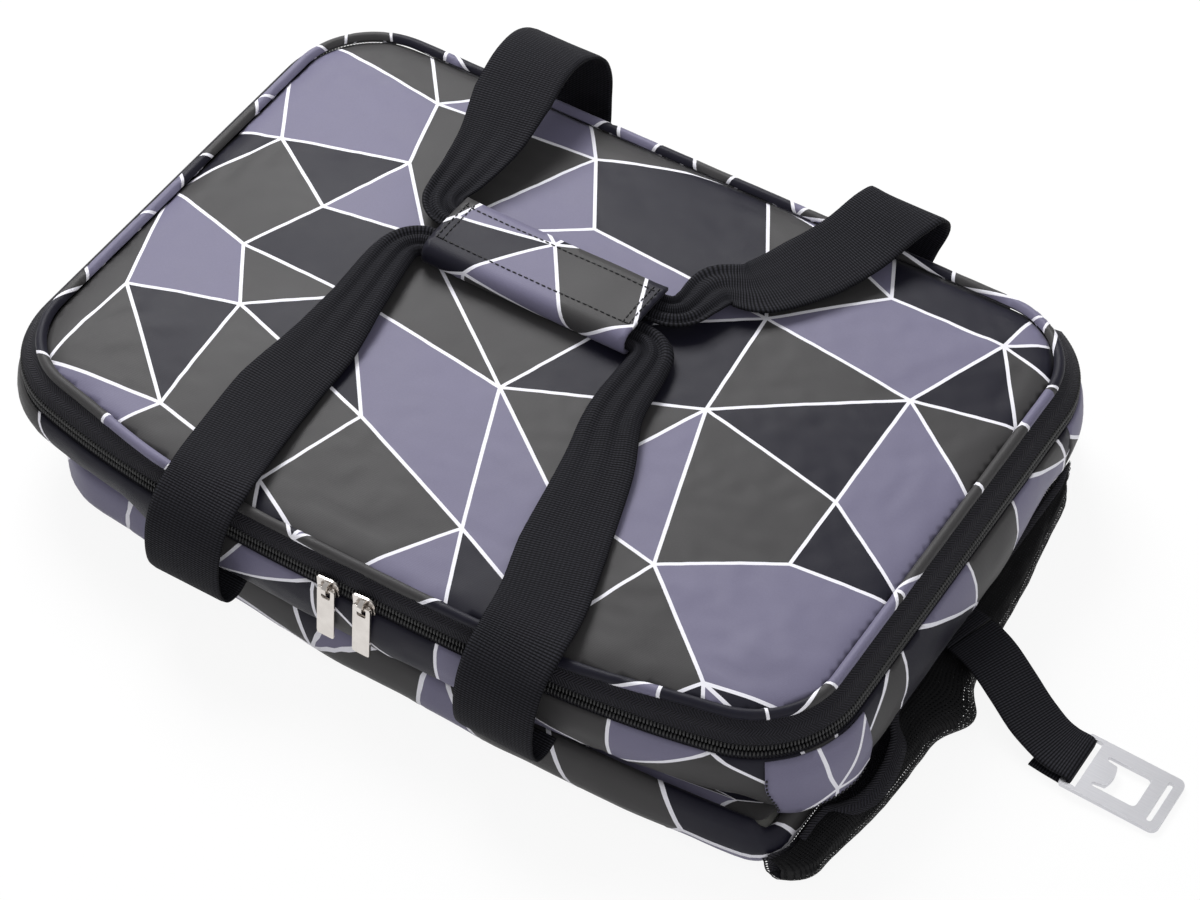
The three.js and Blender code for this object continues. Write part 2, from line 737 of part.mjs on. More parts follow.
// Quarter turn in plan between a leg that runs along Y and the grip that runs along X
function turn(centreX, centreY, from, to) {
  const side = Math.sign(Math.cos(THREE.MathUtils.degToRad(from)));
  return [0, 0.33, 0.67, 1].map((t) => {
    const a = THREE.MathUtils.degToRad(mix(from, to, t));
    const [c, s] = [Math.cos(a), Math.sin(a)];
    return station([centreX + TURN_R * c, centreY + TURN_R * s, WRAP_MID_Z], [side * c, side * s, 0],
      WEB_FOLD_WIDTH, WEB_FOLD_THICK);
  });
}

function mirrored(stations) {
  return stations.map((s) => ({ ...s, across: s.across.map((v) => -v) })).reverse();
}

// Stations that keep the webbing straight inside the wrap
function throughWrap(y) {
  return [0.08, 0.5, 0.92].map((t) => (
    station([mix(WRAP_LEFT_X, WRAP_RIGHT_X, t), y, WRAP_MID_Z], [0, -1, 0], WEB_FOLD_WIDTH, WEB_FOLD_THICK)));
}

// The front handle leaves the hem of the rim, bows forward and lies back over the lid
function frontWebbing() {
  const across = [1, 0, 0];
  const [x, edge, hem, top] = [HANDLE_X, zipFrontAt(HANDLE_X), RIM_BOTTOM_Z, CROWN_Z];
  const loop = (side) => [
    [side * x, edge - 0.5, hem - 2.9], [side * x, edge - 7, hem - 5.3],
    [side * x, edge - 13.5, hem - 3.3], [side * x, edge - 17.5, hem + 3.5],
    [side * x, edge - 18.5, mix(hem, top, 0.32)], [side * (x + 1), edge - 15.5, mix(hem, top, 0.63)],
    [side * (x + 1), edge - 8, top - 6], [side * (x + 1), edge + 5, top + 0.5],
  ].map((at) => station(at, across));
  const left = [
    ...loop(-1),
    station([-x - 4, edge + 30, top + 0.2], across),
    station([-x - 4, edge + 60, top + 1], across),
    station([-x + 1, FRONT_WEB_Y - 75, top + 2.5], across, WEB_WIDTH * 0.9),
    station([-x + 3, FRONT_WEB_Y - 47, top + 5], across, WEB_WIDTH * 0.68, WEB_THICK * 1.3),
    ...turn(WRAP_LEFT_X - 1, FRONT_WEB_Y - TURN_R, 180, 90),
  ];
  const right = [
    ...loop(1),
    station([x - 5, edge + 24, top + 0.2], across),
    station([x - 13, edge + 52, top + 0.8], across),
    station([x - 23, FRONT_WEB_Y - 71, top + 2.6], across, WEB_WIDTH * 0.9),
    station([WRAP_RIGHT_X + 16, FRONT_WEB_Y - 43, top + 5], across, WEB_WIDTH * 0.68, WEB_THICK * 1.3),
    ...turn(WRAP_RIGHT_X + 1, FRONT_WEB_Y - TURN_R, 0, 90),
  ];
  return webbing([...left, ...throughWrap(FRONT_WEB_Y), ...mirrored(right)]);
}

// The rear handle stands up behind the bag and falls forward on to the lid, the left leg in a high bow
function rearWebbing() {
  const across = [1, 0, 0];
  const [x, edge, hem, top] = [HANDLE_X, ZIP_REAR_Y, RIM_BOTTOM_Z, CROWN_Z];
  const left = [
    station([-x, edge + 9.5, hem + 4.5], across),
    station([-x, edge + 12.5, mix(hem, top, 0.36)], across),
    station([-x, edge + 13.5, mix(hem, top, 0.71)], across),
    station([-x, edge + 13.5, top + 3], across),
    station([-x - 1, edge + 9, top + 15], across),
    station([-x - 3, edge - 3, top + 23], across),
    station([-x - 3, edge - 19, top + 24.5], across),
    station([-x - 1, edge - 39, top + 20], across),
    station([-x + 2, REAR_WEB_Y + 46, top + 13.5], across, WEB_WIDTH * 0.8),
    station([-x + 2, REAR_WEB_Y + 26, top + 8.5], across, WEB_WIDTH * 0.58, WEB_THICK * 1.5),
    ...turn(WRAP_LEFT_X - 1, REAR_WEB_Y + TURN_R, 180, 270),
  ];
  const right = [
    station([x, edge + 9.5, hem + 4.5], across),
    station([x + 4, edge + 12.8, mix(hem, top, 0.36)], across),
    station([x + 8, edge + 13.8, mix(hem, top, 0.67)], across),
    station([x + 12, edge + 13.5, top - 2], across),
    station([x + 12, edge + 8, top + 6.5], across),
    station([x + 9, edge - 3, top + 8.5], [1, -0.2, 0]),
    station([x + 3, edge - 25, top + 5.5], [1, -0.3, 0]),
    station([x - 6, edge - 47, top + 4.2], [1, -0.4, 0]),
    station([WRAP_RIGHT_X + 29, REAR_WEB_Y + 36, top + 4.6], [0.9, -0.45, 0], WEB_WIDTH * 0.84),
    station([WRAP_RIGHT_X + 16, REAR_WEB_Y + 26, top + 6], [0.95, -0.3, 0], WEB_WIDTH * 0.58, WEB_THICK * 1.5),
    ...turn(WRAP_RIGHT_X + 1, REAR_WEB_Y + TURN_R, 360, 270),
  ];
  return webbing([...left, ...throughWrap(REAR_WEB_Y), ...mirrored(right)]);
}

// Grip wrap: a padded sleeve with its mouth to the rear, where the rear webbing leaves it
function gripWrap() {
  const [y0, z0, d, h, w] = [WRAP_FRONT_Y, WRAP_BOTTOM_Z, WRAP_DEPTH, WRAP_HEIGHT, WRAP_WALL];
  const shape = new THREE.Shape();
  const r = h / 2;
  shape.moveTo(y0 + WRAP_LIP, z0);
  shape.lineTo(y0 + r, z0);
  shape.absarc(y0 + r, z0 + r, r, -Math.PI / 2, Math.PI / 2, true);
  shape.lineTo(y0 + d, z0 + h - 0.8);
  shape.lineTo(y0 + d, z0 + h - 0.8 - w);
  shape.lineTo(y0 + r, z0 + h - w);
  shape.absarc(y0 + r, z0 + r, r - w, Math.PI / 2, -Math.PI / 2, false);
  shape.lineTo(y0 + WRAP_LIP, z0 + w);
  const geometry = extruded(shape, WRAP_RIGHT_X - WRAP_LEFT_X);
  geometry.rotateX(Math.PI / 2);
  geometry.rotateZ(Math.PI / 2);
  geometry.translate(WRAP_LEFT_X, 0, 0);
  return geometry;
}

function patch(y, z, width) {
  const geometry = new THREE.BoxGeometry(WRAP_RIGHT_X - WRAP_LEFT_X - 12, width, PATCH_THICK);
  geometry.translate((WRAP_LEFT_X + WRAP_RIGHT_X) / 2, y, z);
  return welded(geometry);
}

// Slider, in its own frame: x along the zipper, y across it towards the lid, z out of the bag

const PLATE_IN_Z = -SLIDER_CHANNEL / 2;
const PLATE_OUT_Z = SLIDER_CHANNEL / 2;

function sliderPlate(z) {
  const shape = new THREE.Shape();
  const [l, w, t] = [SLIDER_LENGTH / 2, SLIDER_WIDTH / 2, SLIDER_TAIL_WIDTH / 2];
  shape.moveTo(-l, -t + 1);
  shape.quadraticCurveTo(-l, -t, -l + 1, -t);
  shape.lineTo(l - 3.5, -w);
  shape.quadraticCurveTo(l, -w, l, -w + 3.2);
  shape.quadraticCurveTo(l - 0.9, 0, l, w - 3.2);
  shape.quadraticCurveTo(l, w, l - 3.5, w);
  shape.lineTo(-l + 1, t);
  shape.quadraticCurveTo(-l, t, -l, t - 1);
  const geometry = extruded(shape, SLIDER_PLATE, { curveSegments: 4 });
  geometry.translate(0, 0, z);
  return geometry;
}

// Flange that keeps the rim's coil in the channel
function sliderFlange(z, height) {
  const geometry = new THREE.BoxGeometry(SLIDER_LENGTH - 4.4, 0.8, height);
  geometry.translate(-0.8, -COIL_SPLIT / 2 - COIL_WIDTH - 0.65, z);
  return geometry;
}

// Diamond post that parts the two coils, at the nose
function sliderPost() {
  const shape = new THREE.Shape();
  const [half, wide] = [2.2, COIL_SPLIT / 2 - 0.3];
  shape.moveTo(-half, 0);
  shape.lineTo(0, -wide);
  shape.lineTo(half, 0);
  shape.lineTo(0, wide);
  const geometry = extruded(shape, SLIDER_CHANNEL + SLIDER_PLATE);
  geometry.translate(SLIDER_LENGTH / 2 - 3.4, 0, PLATE_IN_Z - SLIDER_PLATE / 2);
  return geometry;
}

// Bail over the outer plate, through which the pull's bar passes
function sliderBail() {
  const shape = new THREE.Shape();
  const arc = (halfWidth, height, backwards) => Array.from({ length: 9 }, (_, k) => {
    const a = Math.PI * (backwards ? 1 - k / 8 : k / 8);
    return new THREE.Vector2(halfWidth * Math.cos(a), height * Math.sin(a));
  });
  const foot = -SLIDER_PLATE / 2;
  shape.moveTo(BAIL_HALF, foot);
  arc(BAIL_HALF, BAIL_HEIGHT, false).forEach((p) => shape.lineTo(p.x, p.y));
  shape.lineTo(-BAIL_HALF, foot);
  shape.lineTo(-BAIL_HALF + BAIL_WALL, foot);
  arc(BAIL_HALF - BAIL_WALL, BAIL_HEIGHT - BAIL_WALL, true).forEach((p) => shape.lineTo(p.x, p.y));
  shape.lineTo(BAIL_HALF - BAIL_WALL, foot);
  const geometry = extruded(shape, BAIL_WIDTH);
  geometry.rotateX(Math.PI / 2);
  geometry.rotateZ(Math.PI / 2);
  geometry.translate(-BAIL_WIDTH / 2, 0, PLATE_OUT_Z + SLIDER_PLATE);
  return geometry;
}

function slider() {
  const reach = (SLIDER_CHANNEL - TAPE_THICK) / 2 - SLIDER_PLAY;
  return joined(
    sliderPlate(PLATE_IN_Z - SLIDER_PLATE), sliderPlate(PLATE_OUT_Z), sliderPost(), sliderBail(),
    sliderFlange(PLATE_OUT_Z - reach / 2 + 0.2, reach + 0.4),
    sliderFlange(PLATE_IN_Z + reach / 2 - 0.2, reach + 0.4),
  );
}

// Pull, hanging along -y from its bar on the x axis
function pull() {
  const shape = new THREE.Shape();
  const [w, l, r, b] = [PULL_WIDTH / 2, PULL_LENGTH, 1.2, PULL_BAR / 2];
  shape.moveTo(-w + 1.2, b);
  shape.lineTo(w - 1.2, b);
  shape.quadraticCurveTo(w, b, w, b - 1.2);
  shape.lineTo(w, -l + r);
  shape.quadraticCurveTo(w, -l, w - r, -l);
  shape.lineTo(-w + r, -l);
  shape.quadraticCurveTo(-w, -l, -w, -l + r);
  shape.lineTo(-w, b - 1.2);
  shape.quadraticCurveTo(-w, b, -w + 1.2, b);
  const eye = new THREE.Path();
  const e = PULL_EYE_WIDTH / 2;
  eye.moveTo(-e, -b);
  eye.lineTo(-e, -PULL_EYE_LENGTH + 1);
  eye.quadraticCurveTo(-e, -PULL_EYE_LENGTH, -e + 1, -PULL_EYE_LENGTH);
  eye.lineTo(e - 1, -PULL_EYE_LENGTH);
  eye.quadraticCurveTo(e, -PULL_EYE_LENGTH, e, -PULL_EYE_LENGTH + 1);
  eye.lineTo(e, -b);
  shape.holes.push(eye);
  const geometry = extruded(shape, PULL_THICK, { curveSegments: 4 });
  geometry.translate(0, 0, -PULL_THICK / 2);
  return geometry;
}

// Opener

function openerPlate() {
  const [l, w, r] = [PLATE_LENGTH, PLATE_WIDTH / 2, PLATE_CORNER_R];
  const x0 = -BAR_DEPTH / 2;
  const shape = new THREE.Shape();
  shape.moveTo(x0 + 1, -w);
  shape.lineTo(x0 + l - r, -w);
  shape.absarc(x0 + l - r, -w + r, r, -Math.PI / 2, 0, false);
  shape.absarc(x0 + l - r, w - r, r, 0, Math.PI / 2, false);
  shape.lineTo(x0 + 1, w);
  shape.lineTo(x0, w - 1);
  shape.lineTo(x0, -w + 1);
  shape.holes.push(webSlot(), hookCutOut(), endSlot());
  const geometry = extruded(shape, PLATE_THICK, { curveSegments: 6 });
  geometry.translate(0, 0, -PLATE_THICK / 2);
  return geometry;
}

function webSlot() {
  const path = new THREE.Path();
  const [x, half] = [BAR_DEPTH / 2, WEB_SLOT_LENGTH / 2];
  path.moveTo(x, -half);
  path.lineTo(x, half);
  path.lineTo(x + WEB_SLOT, half);
  path.lineTo(x + WEB_SLOT, -half);
  return path;
}

// Cut-out with a lifting tongue on the strap's side and a curled slot at each end of it
function hookCutOut() {
  const path = new THREE.Path();
  const [x0, x1, half] = [16, 31, 8.5];
  const [ear, slit] = [4.5, 2.2];
  path.moveTo(x0 - ear, half - slit);
  path.quadraticCurveTo(x0 - ear - 1.6, half - slit / 2, x0 - ear, half);
  path.lineTo(x1 - 2.5, half);
  path.quadraticCurveTo(x1, half, x1, half - 2.5);
  path.lineTo(x1, -half + 2.5);
  path.quadraticCurveTo(x1, -half, x1 - 2.5, -half);
  path.lineTo(x0 - ear, -half);
  path.quadraticCurveTo(x0 - ear - 1.6, -half + slit / 2, x0 - ear, -half + slit);
  path.lineTo(x0, -half + slit + 0.6);
  path.quadraticCurveTo(x0 + 2.6, 0, x0, half - slit - 0.6);
  return path;
}

function endSlot() {
  const path = new THREE.Path();
  const [x, half, width] = [PLATE_LENGTH - BAR_DEPTH / 2 - 6.5, 10, 2.4];
  path.moveTo(x, -half);
  path.lineTo(x, half);
  path.absarc(x + width / 2, half, width / 2, Math.PI, 0, true);
  path.lineTo(x + width, -half);
  path.absarc(x + width / 2, -half, width / 2, 0, -Math.PI, true);
  return path;
}

// Heading of the strap's width where it leaves the bag at a slant
const SLANT = [0.25, 0.97, 0];

function strip(at, lay = SLANT, width = STRAP_WIDTH) {
  return station(at, lay, width, STRAP_THICK);
}

// Sewn end of the strap, between the side seam and the hem of the rim, where the strap bends
function openerAnchor() {
  const { y } = OPENER_BAR;
  return webbing([
    strip([POCKET_SEAM_X + 2.4, y + 26.4, 18.2]), strip([POCKET_SEAM_X + 5.2, y + 25.4, 18.7]),
    strip([OPENER_BEND_X - 1, y + 23.6, 19.4]),
  ]);
}

// Strap from its sewn end over the pocket to the floor, through the plate's slot and back under itself
function openerStrap() {
  const { x, y, z } = OPENER_BAR;
  const across = [0, 1, 0];
  const r = BAR_DEPTH / 2 + 0.75 + STRAP_THICK / 2;
  const narrow = STRAP_WIDTH - 1;
  const around = [90, 45, 0, -45, -90].map((deg) => {
    const a = THREE.MathUtils.degToRad(deg);
    return strip([x + r * Math.cos(a), y, z + r * Math.sin(a)], across, narrow);
  });
  return webbing([
    strip([OPENER_BEND_X, y + 23, 19.5]), strip([OPENER_BEND_X + 5.5, y + 21, 19.9]),
    strip([x - 48.5, y + 17, 19]), strip([x - 36.5, y + 11.5, 14.6]), strip([x - 24.5, y + 6, 9.6]),
    strip([x - 13.5, y + 2, 6.8], across), strip([x - 6.5, y + 0.4, z + r + 0.1], across, narrow),
    ...around,
    strip([x - 6, y + 0.3, z - r + 0.2], across, narrow),
    strip([x - 15, y + 1.4, z - r + 0.25], across, narrow),
  ]);
}

// Fabric ear at the front right corner: the hem of the side folded over the band and stitched down
function cornerEar() {
  const corner = ZIP.filter((p) => p.nx > 0.6 && p.ny < -0.2);
  return swept(corner, (p) => {
    const [bottom, height] = [rimBottom(p), RIM_TOP_Z - rimBottom(p)];
    const rise = mix(EAR_RISE, 4, smooth((p.nx - 0.7) / 0.27));
    const at = (z, out) => [bandOffset(p, (RIM_TOP_Z - z) / height) + out, z];
    const [low, high] = [bottom + 1.6, bottom + rise];
    const clear = 3 * GAP;
    return [at(high, clear), at(high, clear + EAR_THICK), at(low, clear + EAR_THICK), at(low, clear)];
  }, false);
}

// Materials

function finish(color, roughness, metalness = 0) {
  return new THREE.MeshStandardMaterial({ color, roughness, metalness });
}

const PRINT = [0x67647a, 0.62];
const PRINT_DARK = [0x23222e, 0.62];
const PRINT_GREY = [0x3b3a3a, 0.62];
const BLACK_WEB = [0x121214, 0.85];
const BLACK_NYLON = [0x0f0f10, 0.5];
const LINING = [0xb9bcc2, 0.35];
const FOAM = [0xdcdcd8, 0.9];
const NICKEL = [0xd9d6d2, 0.18, 1];
const STEEL = [0xc9cacc, 0.35, 1];

// Assembly

const bag = new THREE.Group();

function add(name, geometry, look, parent = bag) {
  const mesh = new THREE.Mesh(geometry, finish(...look));
  mesh.name = name;
  parent.add(mesh);
  return mesh;
}

add('base_cover', baseCover(), PRINT_DARK);
add('base_board', pad(13, BOARD_Z, BOARD_THICK), [0x2b2b2b, 0.7]);
add('base_foam', pad(11.5, BASE_FOAM_Z, BASE_FOAM_THICK), FOAM);
add('base_lining', baseLining(), LINING);
add('wall_bellows', wallBellows(), PRINT_GREY);
add('lining_bellows', liningBellows(), LINING);
add('pocket_mesh', pocketMesh(), [0x161617, 0.8]);
add('pocket_binding', pocketBinding(), BLACK_WEB);

add('rim_band', rimBand(), PRINT_GREY);
add('rim_foam', rimFoam(), FOAM);
add('rim_lining', rimLining(), LINING);
add('rim_zip_tape', rimTape(), BLACK_WEB);
add('rim_zip_coil', coil(RIM_COIL_Z), BLACK_NYLON);
add('hinge_strip', hingeStrip(), BLACK_WEB);
add('zip_tab_left', zipTab(-1), BLACK_WEB);
add('zip_tab_right', zipTab(1), BLACK_WEB);
add('corner_ear', cornerEar(), PRINT);

add('lid_cover', lidCover(), PRINT);
add('lid_foam', lidFoam(), FOAM);
add('lid_lining', lidLining(), LINING);
add('lid_piping', lidPiping(), PRINT);
add('lid_zip_tape', lidTape(), BLACK_WEB);
add('lid_zip_coil', coil(LID_COIL_Z), BLACK_NYLON);

add('front_webbing', frontWebbing(), BLACK_WEB);
add('rear_webbing', rearWebbing(), BLACK_WEB);
add('grip_wrap', gripWrap(), PRINT);
add('wrap_hook_patch', patch(WRAP_FRONT_Y + WRAP_DEPTH - 7,
  WRAP_BOTTOM_Z + WRAP_HEIGHT - WRAP_WALL - GAP - PATCH_THICK / 2 - 0.8, 11), BLACK_NYLON);
add('wrap_loop_patch', patch(WRAP_FRONT_Y + WRAP_LIP - 5.5, WRAP_BOTTOM_Z - GAP - PATCH_THICK / 2, 10),
  BLACK_NYLON);

// The front zipper stands upright there, so a slider's y runs up and its z points to the front.
// Its pull leans on the bulge of the rim band.
const SLIDER_Y = FRONT_EDGE_Y;
const BAR_OUT = PLATE_OUT_Z + SLIDER_PLATE + (BAIL_HEIGHT - BAIL_WALL) / 2;
const BULGE_DROP = ZIP_Z - (RIM_TOP_Z + RIM_BOTTOM_Z) / 2;
const PULL_LEAN = Math.atan2(BAND_BULGE + GAP + PULL_THICK / 2 - BAR_OUT, BULGE_DROP) + 0.02;
['left', 'right'].forEach((side, i) => {
  const carrier = new THREE.Group();
  carrier.position.set(SLIDER_X[i], SLIDER_Y, ZIP_Z);
  carrier.rotation.set(Math.PI / 2, 0, 0);
  bag.add(carrier);
  add(`slider_${side}`, slider(), NICKEL, carrier);
  const hanger = new THREE.Group();
  hanger.position.set(0, 0, BAR_OUT);
  hanger.rotation.x = -PULL_LEAN;
  carrier.add(hanger);
  add(`pull_${side}`, pull(), NICKEL, hanger);
});

add('opener_anchor', openerAnchor(), BLACK_WEB);
add('opener_strap', openerStrap(), BLACK_WEB);
const plateTilt = Math.asin((OPENER_BAR.z - PLATE_THICK / 2 - 0.05) / (PLATE_LENGTH - BAR_DEPTH / 2));
const plateHolder = new THREE.Group();
plateHolder.position.set(OPENER_BAR.x, OPENER_BAR.y, OPENER_BAR.z);
plateHolder.rotation.y = plateTilt;
bag.add(plateHolder);
add('opener_plate', openerPlate(), STEEL, plateHolder);

export default bag;
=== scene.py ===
"""Soft cooler bag, folded flat on a pale floor, with its print, webbing, zipper, pocket and opener."""
import logging
import math
import random
from dataclasses import dataclass, field
from enum import Enum
from typing import Callable, Iterable, Sequence

import bmesh
import bpy
import numpy as np
from mathutils import Matrix, Vector, geometry, noise


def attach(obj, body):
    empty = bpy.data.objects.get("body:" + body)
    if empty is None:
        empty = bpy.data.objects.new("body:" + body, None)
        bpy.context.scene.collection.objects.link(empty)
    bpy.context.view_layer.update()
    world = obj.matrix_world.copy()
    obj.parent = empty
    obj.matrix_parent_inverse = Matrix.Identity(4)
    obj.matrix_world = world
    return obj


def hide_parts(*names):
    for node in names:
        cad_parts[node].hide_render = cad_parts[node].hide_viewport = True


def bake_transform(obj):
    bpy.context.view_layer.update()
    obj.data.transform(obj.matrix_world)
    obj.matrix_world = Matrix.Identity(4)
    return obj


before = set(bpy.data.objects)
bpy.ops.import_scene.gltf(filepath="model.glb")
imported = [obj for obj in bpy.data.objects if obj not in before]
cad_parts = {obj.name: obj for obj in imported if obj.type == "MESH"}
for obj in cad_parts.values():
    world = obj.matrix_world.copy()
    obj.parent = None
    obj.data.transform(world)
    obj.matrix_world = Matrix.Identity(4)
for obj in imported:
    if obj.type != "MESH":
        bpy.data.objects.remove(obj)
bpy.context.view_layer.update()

LOG = logging.getLogger("cooler bag")
MM = 0.001
SEED = 730
Vec2 = tuple[float, float]
Vec3 = tuple[float, float, float]
Colour = tuple[float, float, float]


def smooth(t: float) -> float:
    """Ease from 0 to 1 with flat ends."""
    u = min(1.0, max(0.0, t))
    return u * u * (3 - 2 * u)


def mix(a: float, b: float, t: float) -> float:
    """Value at a share t of the way from a to b."""
    return a + (b - a) * t


def srgb(code: str) -> Colour:
    """Linear colour of a six-digit hex code."""
    parts = [int(code[k:k + 2], 16) / 255 for k in (0, 2, 4)]
    return tuple(p / 12.92 if p <= 0.04045 else ((p + 0.055) / 1.055) ** 2.4 for p in parts)


# Shader maths


class Signal:
    """A shader socket that adds Math nodes when it is used in an expression."""

    def __init__(self, shader: "Shader", socket: bpy.types.NodeSocket) -> None:
        """Wrap an output socket of a shader."""
        self.shader = shader
        self.socket = socket

    def _with(self, operation: str, *values: "float | Signal") -> "Signal":
        """Result of a Math node on the given values."""
        return self.shader.node("ShaderNodeMath", {"operation": operation}, dict(enumerate(values)))

    def __add__(self, other: "float | Signal") -> "Signal":
        """Sum."""
        return self._with("ADD", self, other)

    __radd__ = __add__

    def __sub__(self, other: "float | Signal") -> "Signal":
        """Difference."""
        return self._with("SUBTRACT", self, other)

    def __rsub__(self, other: "float | Signal") -> "Signal":
        """Difference from a value on the left."""
        return self._with("SUBTRACT", other, self)

    def __mul__(self, other: "float | Signal") -> "Signal":
        """Product."""
        return self._with("MULTIPLY", self, other)

    __rmul__ = __mul__

    def __truediv__(self, other: "float | Signal") -> "Signal":
        """Quotient."""
        return self._with("DIVIDE", self, other)

    def beside(self, output: "str | int") -> "Signal":
        """Another output of the same node."""
        return Signal(self.shader, self.socket.node.outputs[output])

    def sine(self) -> "Signal":
        """Sine of a value in radians."""
        return self._with("SINE", self)

    def size(self) -> "Signal":
        """Value without its sign."""
        return self._with("ABSOLUTE", self)

    def floor(self) -> "Signal":
        """Whole part."""
        return self._with("FLOOR", self)

    def wrap(self, top: float) -> "Signal":
        """Value folded into 0 to top."""
        return self._with("WRAP", self, top, 0.0)

    def above(self, level: float) -> "Signal":
        """1 where the value is above a level, and 0 elsewhere."""
        return self._with("GREATER_THAN", self, level)

    def between(self, low: float, high: float) -> "Signal":
        """0 at low and 1 at high, with a soft step between them."""
        settings = {"interpolation_type": "SMOOTHSTEP"}
        return self.shader.node("ShaderNodeMapRange", settings, {0: self, 1: low, 2: high, 3: 0.0, 4: 1.0})


class Shader:
    """A material under construction."""

    def __init__(self, name: str) -> None:
        """Start an empty node tree with its output and its principled shader."""
        self.material = bpy.data.materials.new(name)
        self.material.use_nodes = True
        self.tree = self.material.node_tree
        self.tree.nodes.clear()
        self.output = self.tree.nodes.new("ShaderNodeOutputMaterial")
        self.surface = self.tree.nodes.new("ShaderNodeBsdfPrincipled")
        self.tree.links.new(self.surface.outputs[0], self.output.inputs["Surface"])

    def set_input(self, node: bpy.types.Node, key: "str | int", value: object) -> None:
        """Link a signal to a node's socket, or set the socket's own value."""
        socket = node.inputs[key]
        if isinstance(value, Signal):
            self.tree.links.new(value.socket, socket)
        elif isinstance(value, tuple) and socket.type == "RGBA":
            socket.default_value = (*value, 1.0) if len(value) == 3 else value
        else:
            socket.default_value = value

    def node(self, kind: str, settings: "dict | None" = None, inputs: "dict | None" = None,
             output: "str | int" = 0) -> Signal:
        """Add a node.

        Args:
            kind: Blender's node type.
            settings: properties that are set before anything is linked.
            inputs: socket name or index to a value or a signal.
            output: the output socket that is used.

        Returns:
            The output as a signal.
        """
        node = self.tree.nodes.new(kind)
        for key, value in (settings or {}).items():
            setattr(node, key, value)
        for key, value in (inputs or {}).items():
            self.set_input(node, key, value)
        return Signal(self, node.outputs[output])

    def uv(self) -> tuple[Signal, Signal]:
        """The cloth's own coordinates in millimetres, across and along."""
        cloth = self.node("ShaderNodeUVMap", {"uv_map": "cloth"})
        across = self.node("ShaderNodeSeparateXYZ", None, {0: cloth}, "X")
        return across * 1000.0, across.beside("Y") * 1000.0

    def place(self) -> Signal:
        """Object coordinates, in metres."""
        return self.node("ShaderNodeTexCoord", output="Object")

    def noise(self, where: "Signal | None", scale: float, detail: float = 3.0, rough: float = 0.5) -> Signal:
        """Noise in 0 to 1."""
        inputs = {"Scale": scale, "Detail": detail, "Roughness": rough}
        if where is not None:
            inputs["Vector"] = where
        return self.node("ShaderNodeTexNoise", None, inputs)

    def mixed(self, a: "Signal | Colour", b: "Signal | Colour", share: "Signal | float") -> Signal:
        """Colour between a and b."""
        return self.node("ShaderNodeMix", {"data_type": "RGBA"}, {0: share, 6: a, 7: b}, 2)

    def scaled(self, colour: "Signal | Colour", amount: "Signal | float") -> Signal:
        """Colour made lighter or darker by a factor."""
        return self.node("ShaderNodeVectorMath", {"operation": "SCALE"}, {0: colour, "Scale": amount})

    def bump(self, height: Signal, strength: float, depth_mm: float) -> Signal:
        """Normal bent by a height."""
        inputs = {"Height": height, "Strength": strength, "Distance": depth_mm * MM}
        return self.node("ShaderNodeBump", None, inputs)

    def finish(self, **sockets: object) -> bpy.types.Material:
        """Set the principled shader's sockets, with spaces as underscores, and return the material."""
        for key, value in sockets.items():
            self.set_input(self.surface, key.replace("_", " "), value)
        return self.material


# Finishes

INK_LIGHT = srgb("6f6c83")
INK_DARK = srgb("11101f")
INK_GREY = srgb("3b3a3b")
INK_LINE = srgb("e9e8f0")


@dataclass(frozen=True)
class PrintedTwill:
    """Coated polyester twill with the print in its ink attribute."""

    pitch: float = 0.9
    roughness: float = 0.5

    def make(self) -> bpy.types.Material:
        """Build the material."""
        s = Shader("printed twill")
        u, v = s.uv()
        rib = ((u + v * 1.6) * (2 * math.pi / self.pitch)).sine()
        cloud = s.noise(s.place(), 24.0, 4.0)
        grain = s.noise(s.place(), 1400.0, 2.0)
        ink = s.node("ShaderNodeAttribute", {"attribute_name": "ink"}, output="Color")
        tone = 0.86 + 0.2 * cloud + 0.035 * rib + 0.12 * grain
        return s.finish(
            Base_Color=s.scaled(ink, tone),
            Roughness=self.roughness - 0.08 + 0.16 * cloud,
            Normal=s.bump(rib * 0.5 + grain, 0.35, 0.12),
            Sheen_Weight=0.05,
            Sheen_Roughness=0.4,
            Specular_IOR_Level=0.24,
        )


@dataclass(frozen=True)
class Webbing:
    """Black polypropylene webbing: fine crosswise ribs, broken by faint lengthwise columns, with a painted
    highlight along the rib crests.
    """

    rib: float = 1.15
    column: float = 1.9
    colour: Colour = srgb("323239")

    def make(self) -> bpy.types.Material:
        """Build the material."""
        s = Shader("webbing")
        u, v = s.uv()
        rib = (v * (math.pi / self.rib)).sine().size()
        seam = ((u / self.column) * math.pi).sine().size()
        grain = s.noise(s.place(), 900.0, 3.0)
        fade = s.noise(s.place(), 30.0, 3.0)
        # Rib pattern that lifts the base colour at the crests: partly the weave's own relief, partly a
        # painted highlight where light catches the crests.
        yarn_and_crest_highlight = rib * (0.7 + 0.3 * seam)
        return s.finish(
            Base_Color=s.scaled(self.colour, 0.02 + 0.78 * yarn_and_crest_highlight * yarn_and_crest_highlight + 0.1 * fade),
            Roughness=0.74 - 0.14 * yarn_and_crest_highlight + 0.1 * grain,
            Normal=s.bump(yarn_and_crest_highlight + 0.25 * grain, 0.7, 0.4),
            Specular_IOR_Level=0.1,
        )


@dataclass(frozen=True)
class HerringboneTape:
    """Black woven tape with a chevron in every column."""

    rib: float = 1.5
    column: float = 2.8
    colour: Colour = srgb("1e1d25")

    def make(self) -> bpy.types.Material:
        """Build the material."""
        s = Shader("herringbone tape")
        u, v = s.uv()
        side = (u / self.column).floor().wrap(2.0) * 2.0 - 1.0
        rib = ((v + side * u) * (2 * math.pi / self.rib)).sine()
        grain = s.noise(s.place(), 1200.0, 2.0)
        tone = 0.75 + 0.55 * rib + 0.3 * grain
        return s.finish(
            Base_Color=s.scaled(self.colour, tone),
            Roughness=0.62 + 0.12 * grain,
            Normal=s.bump(rib + grain, 0.8, 0.3),
            Specular_IOR_Level=0.3,
        )


